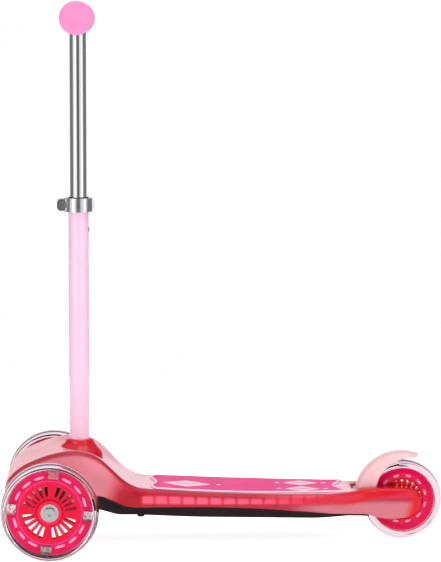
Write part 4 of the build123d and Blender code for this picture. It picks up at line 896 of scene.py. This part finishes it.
# ---------------------------------------------------------------- stem collar
def collar():
    """The boot at the foot of the stem: level rings whose radius grows downwards in a soft flare,
    longer to the rear, with a rolled top lip, and a skirt that runs into the nose."""
    top = extent("stem_collar")[1][2]
    bore_r = 13.1
    drop = np.array([0.0, 0.4, 1.2, 2.4, 4.0, 6.0, 8.5, 11.0, 14.0, 17.5, 21.5, 26.0])
    front = np.array([15.2, 16.2, 16.9, 17.2, 18.0, 20.0, 22.8, 25.0, 26.6, 27.4, 27.8, 28.0])
    rear = np.array([15.2, 16.2, 17.0, 17.5, 18.3, 19.6, 21.6, 23.6, 26.4, 28.6, 29.6, 30.0])
    across = np.array([15.2, 16.2, 16.9, 17.2, 17.8, 18.8, 20.4, 22.2, 24.2, 25.6, 26.2, 26.4])
    angle = np.arange(96) * 2 * pi / 96
    c, s = np.cos(angle)[None], np.sin(angle)[None]
    reach = np.where(c < 0, front[:, None], rear[:, None])
    outside = np.stack([STEM[0] + reach * c, across[:, None] * s, top - drop[:, None] + 0 * c], -1)
    bore = np.stack([STEM[0] + bore_r * c, bore_r * s, top + 0 * c], -1)
    bore_low = bore - (0, 0, drop[-1])
    points = np.concatenate([bore_low, bore, outside])
    grids = [{"points": points, "round_rows": True, "round_columns": True}]
    return piece("collar_boot", "deck", grids, FINISHES["collar"], ["stem_collar"], sharp=60)


collar()


# ---------------------------------------------------------------- brake fender
def fender():
    """The foot brake: a blade that follows an arc round the rear wheel from the hinge to its tip.
    Its cross-section is a shallow arch that turns down into skirts, deep at the hinge and gone at
    the tip.  The wall is the space between that section and the same one moved inwards."""
    half = extent("brake_fender")[1][1] - 0.1
    roof, thickness, crown = 61.4, 1.9, 1.0
    angle = np.radians(np.linspace(167.5, 70.4, 130))
    share = np.linspace(0, 1, 130)
    depths = [(0, 22), (0.12, 21.5), (0.35, 17), (0.6, 11.5), (0.8, 6.5), (0.92, 2.6), (1, 0.4)]
    skirt = through(depths, share)
    width = half * (1 - 0.55 * smooth(0.82, 1.0, share) ** 2)
    v = np.linspace(-1, 1, 15)

    def wall(inward):
        """The section drawn in: an arch, a quarter circle on each side, and the skirts."""
        w = (width - inward)[:, None]
        bend = np.minimum(4.0, w * 0.5)
        flat_y = v[None] * (w - bend)
        flat_d = inward + crown - crown * (1 - v[None] ** 2)
        turn = np.linspace(0, pi / 2, 8)[None, 1:]
        fall = np.linspace(0, 1, 9)[None, 1:]
        edge_d = inward + crown
        right_y = np.concatenate([w - bend + bend * np.sin(turn), w + 0 * fall], 1)
        hang = np.maximum(skirt[:, None] - bend, 0.2) - inward * 0.2
        right_d = edge_d + np.concatenate([bend * (1 - np.cos(turn)), bend + hang * fall], 1)
        y = np.concatenate([-right_y[:, ::-1], flat_y, right_y], 1)
        r = roof - np.concatenate([right_d[:, ::-1], flat_d + 0 * flat_y, right_d], 1)
        x = REAR_AXLE[0] + r * np.cos(angle)[:, None]
        z = REAR_AXLE[2] + r * np.sin(angle)[:, None]
        return np.stack([x, y, z], -1)

    loop = np.concatenate([wall(0.0), wall(thickness)[:, ::-1]], 1)
    columns = loop.shape[1] // 2
    ends = [np.stack([row[:columns], row[columns:][::-1]]) for row in (loop[0], loop[-1])]
    grids = [{"points": loop, "round_columns": True}, *({"points": end} for end in ends)]
    return piece("fender_blade", "brake", grids, FINISHES["fender"], ["brake_fender"], sharp=50)


fender()


# ---------------------------------------------------------------- studio
# brightness of the studio's walls from the camera's side (-1) to the far side (1)
PANELS = [(-1, 0.14), (-0.97, 0.16), (-0.93, 0.9), (-0.38, 0.9), (-0.16, 0.2), (0.82, 0.22), (0.92, 0.9),
          (1, 0.95)]
# name, place and size in metres, and watts
LAMPS = [
    ("left_box", (-1.9, -1.9, 1.0), (0.9, 2.2), 7.0),
    ("right_box", (2.1, -1.7, 1.0), (0.8, 2.2), 4.5),
    ("top_box", (0.2, -0.5, 2.4), (1.8, 1.8), 17.0),
]
FLOOR_R = 1.4
FLOOR_RINGS, FLOOR_SPOKES = 24, 96
WHITE = (1.0, 1.0, 1.0)


def studio():
    """A pale floor, a bright backdrop, and soft boxes on both sides and above.  The world is white
    to the camera and bright through clear plastic; in reflections it has light and dark panels."""
    world = bpy.data.worlds.new("studio")
    bpy.context.scene.world = world
    world.use_nodes = True
    tree = world.node_tree
    tree.nodes.clear()
    direction = add_node(tree, "ShaderNodeTexCoord").outputs["Generated"]
    parts = add_node(tree, "ShaderNodeSeparateXYZ", {0: direction}).outputs
    depth = math(tree, "MULTIPLY_ADD", parts[1], 0.5, 0.5)
    walls = ramp_of(tree, depth, [((place + 1) / 2, (level,) * 3) for place, level in PANELS])
    above = ranged(tree, parts[2], 0.35, 0.9, 0.0, 0.9, interpolation_type="SMOOTHSTEP")
    level = math(tree, "MAXIMUM", walls, above)
    path = add_node(tree, "ShaderNodeLightPath").outputs
    through_glass = math(tree, "MULTIPLY", path["Is Transmission Ray"], 0.92)
    strength = math(tree, "MAXIMUM", math(tree, "MAXIMUM", level, through_glass), path["Is Camera Ray"])
    light = add_node(tree, "ShaderNodeBackground", {"Color": (*WHITE, 1.0), "Strength": strength})
    add_node(tree, "ShaderNodeOutputWorld", {"Surface": light.outputs[0]})

    for name, place, size, power in LAMPS:
        lamp = bpy.data.lights.new(name, "AREA")
        lamp.shape = "RECTANGLE"
        lamp.size, lamp.size_y = size
        lamp.energy = power
        holder = bpy.data.objects.new(name, lamp)
        bpy.context.scene.collection.objects.link(holder)
        holder.location = place
        aim = Vector((0, 0, 0.3)) - Vector(place)
        holder.rotation_euler = aim.to_track_quat("-Z", "Y").to_euler()

    radius = (np.linspace(0, 1, FLOOR_RINGS) ** 1.5 * FLOOR_R)[:, None]
    angle = np.arange(FLOOR_SPOKES) * 2 * pi / FLOOR_SPOKES
    spots = np.stack([radius * np.cos(angle), radius * np.sin(angle), 0 * radius * angle], -1)
    faces = grid_faces(FLOOR_RINGS, FLOOR_SPOKES, False, True)[:, ::-1]
    mesh = bpy.data.meshes.new("floor")
    mesh.from_pydata(spots.reshape(-1, 3).tolist(), [], faces.tolist())
    floor = bpy.data.objects.new("floor", mesh)
    bpy.context.scene.collection.objects.link(floor)
    paper = moulded_plastic("floor_paper", linear(250, 248, 249), 0.9, 0.02, 300.0, 0.00003, darker=0.98,
                            Emission_Color=(*WHITE, 1.0), Emission_Strength=0.8)
    # the floor's own glow is nearly gone from reflections, so that bright metal keeps its edges
    mirrored = add_node(paper.tree, "ShaderNodeLightPath").outputs["Is Glossy Ray"]
    paper.feed("Emission Color", paper.tint(mirrored, WHITE, (0.05, 0.05, 0.05)))
    mesh.materials.append(paper.material)


def camera():
    """The camera: turned a little to the left of the side view, and looking slightly down."""
    yaw, pitch, roll = radians(2.58), radians(6.27), radians(0.1)
    forward = Vector((sin(yaw) * cos(pitch), cos(yaw) * cos(pitch), -sin(pitch)))
    right = Vector((cos(yaw), -sin(yaw), 0))
    up = right.cross(forward)
    right, up = right * cos(roll) + up * sin(roll), up * cos(roll) - right * sin(roll)
    lens = bpy.data.cameras.new("camera")
    lens.lens = 153.28
    lens.sensor_width = 36.0
    lens.clip_start, lens.clip_end = 0.05, 50.0
    holder = bpy.data.objects.new("camera", lens)
    bpy.context.scene.collection.objects.link(holder)
    turn = Matrix((right, up, -forward)).transposed().to_4x4()
    holder.matrix_world = Matrix.Translation((-0.13925, -2.99216, 0.65823)) @ turn
    bpy.context.scene.camera = holder


studio()
camera()
bpy.context.scene.view_settings.view_transform = "Standard"
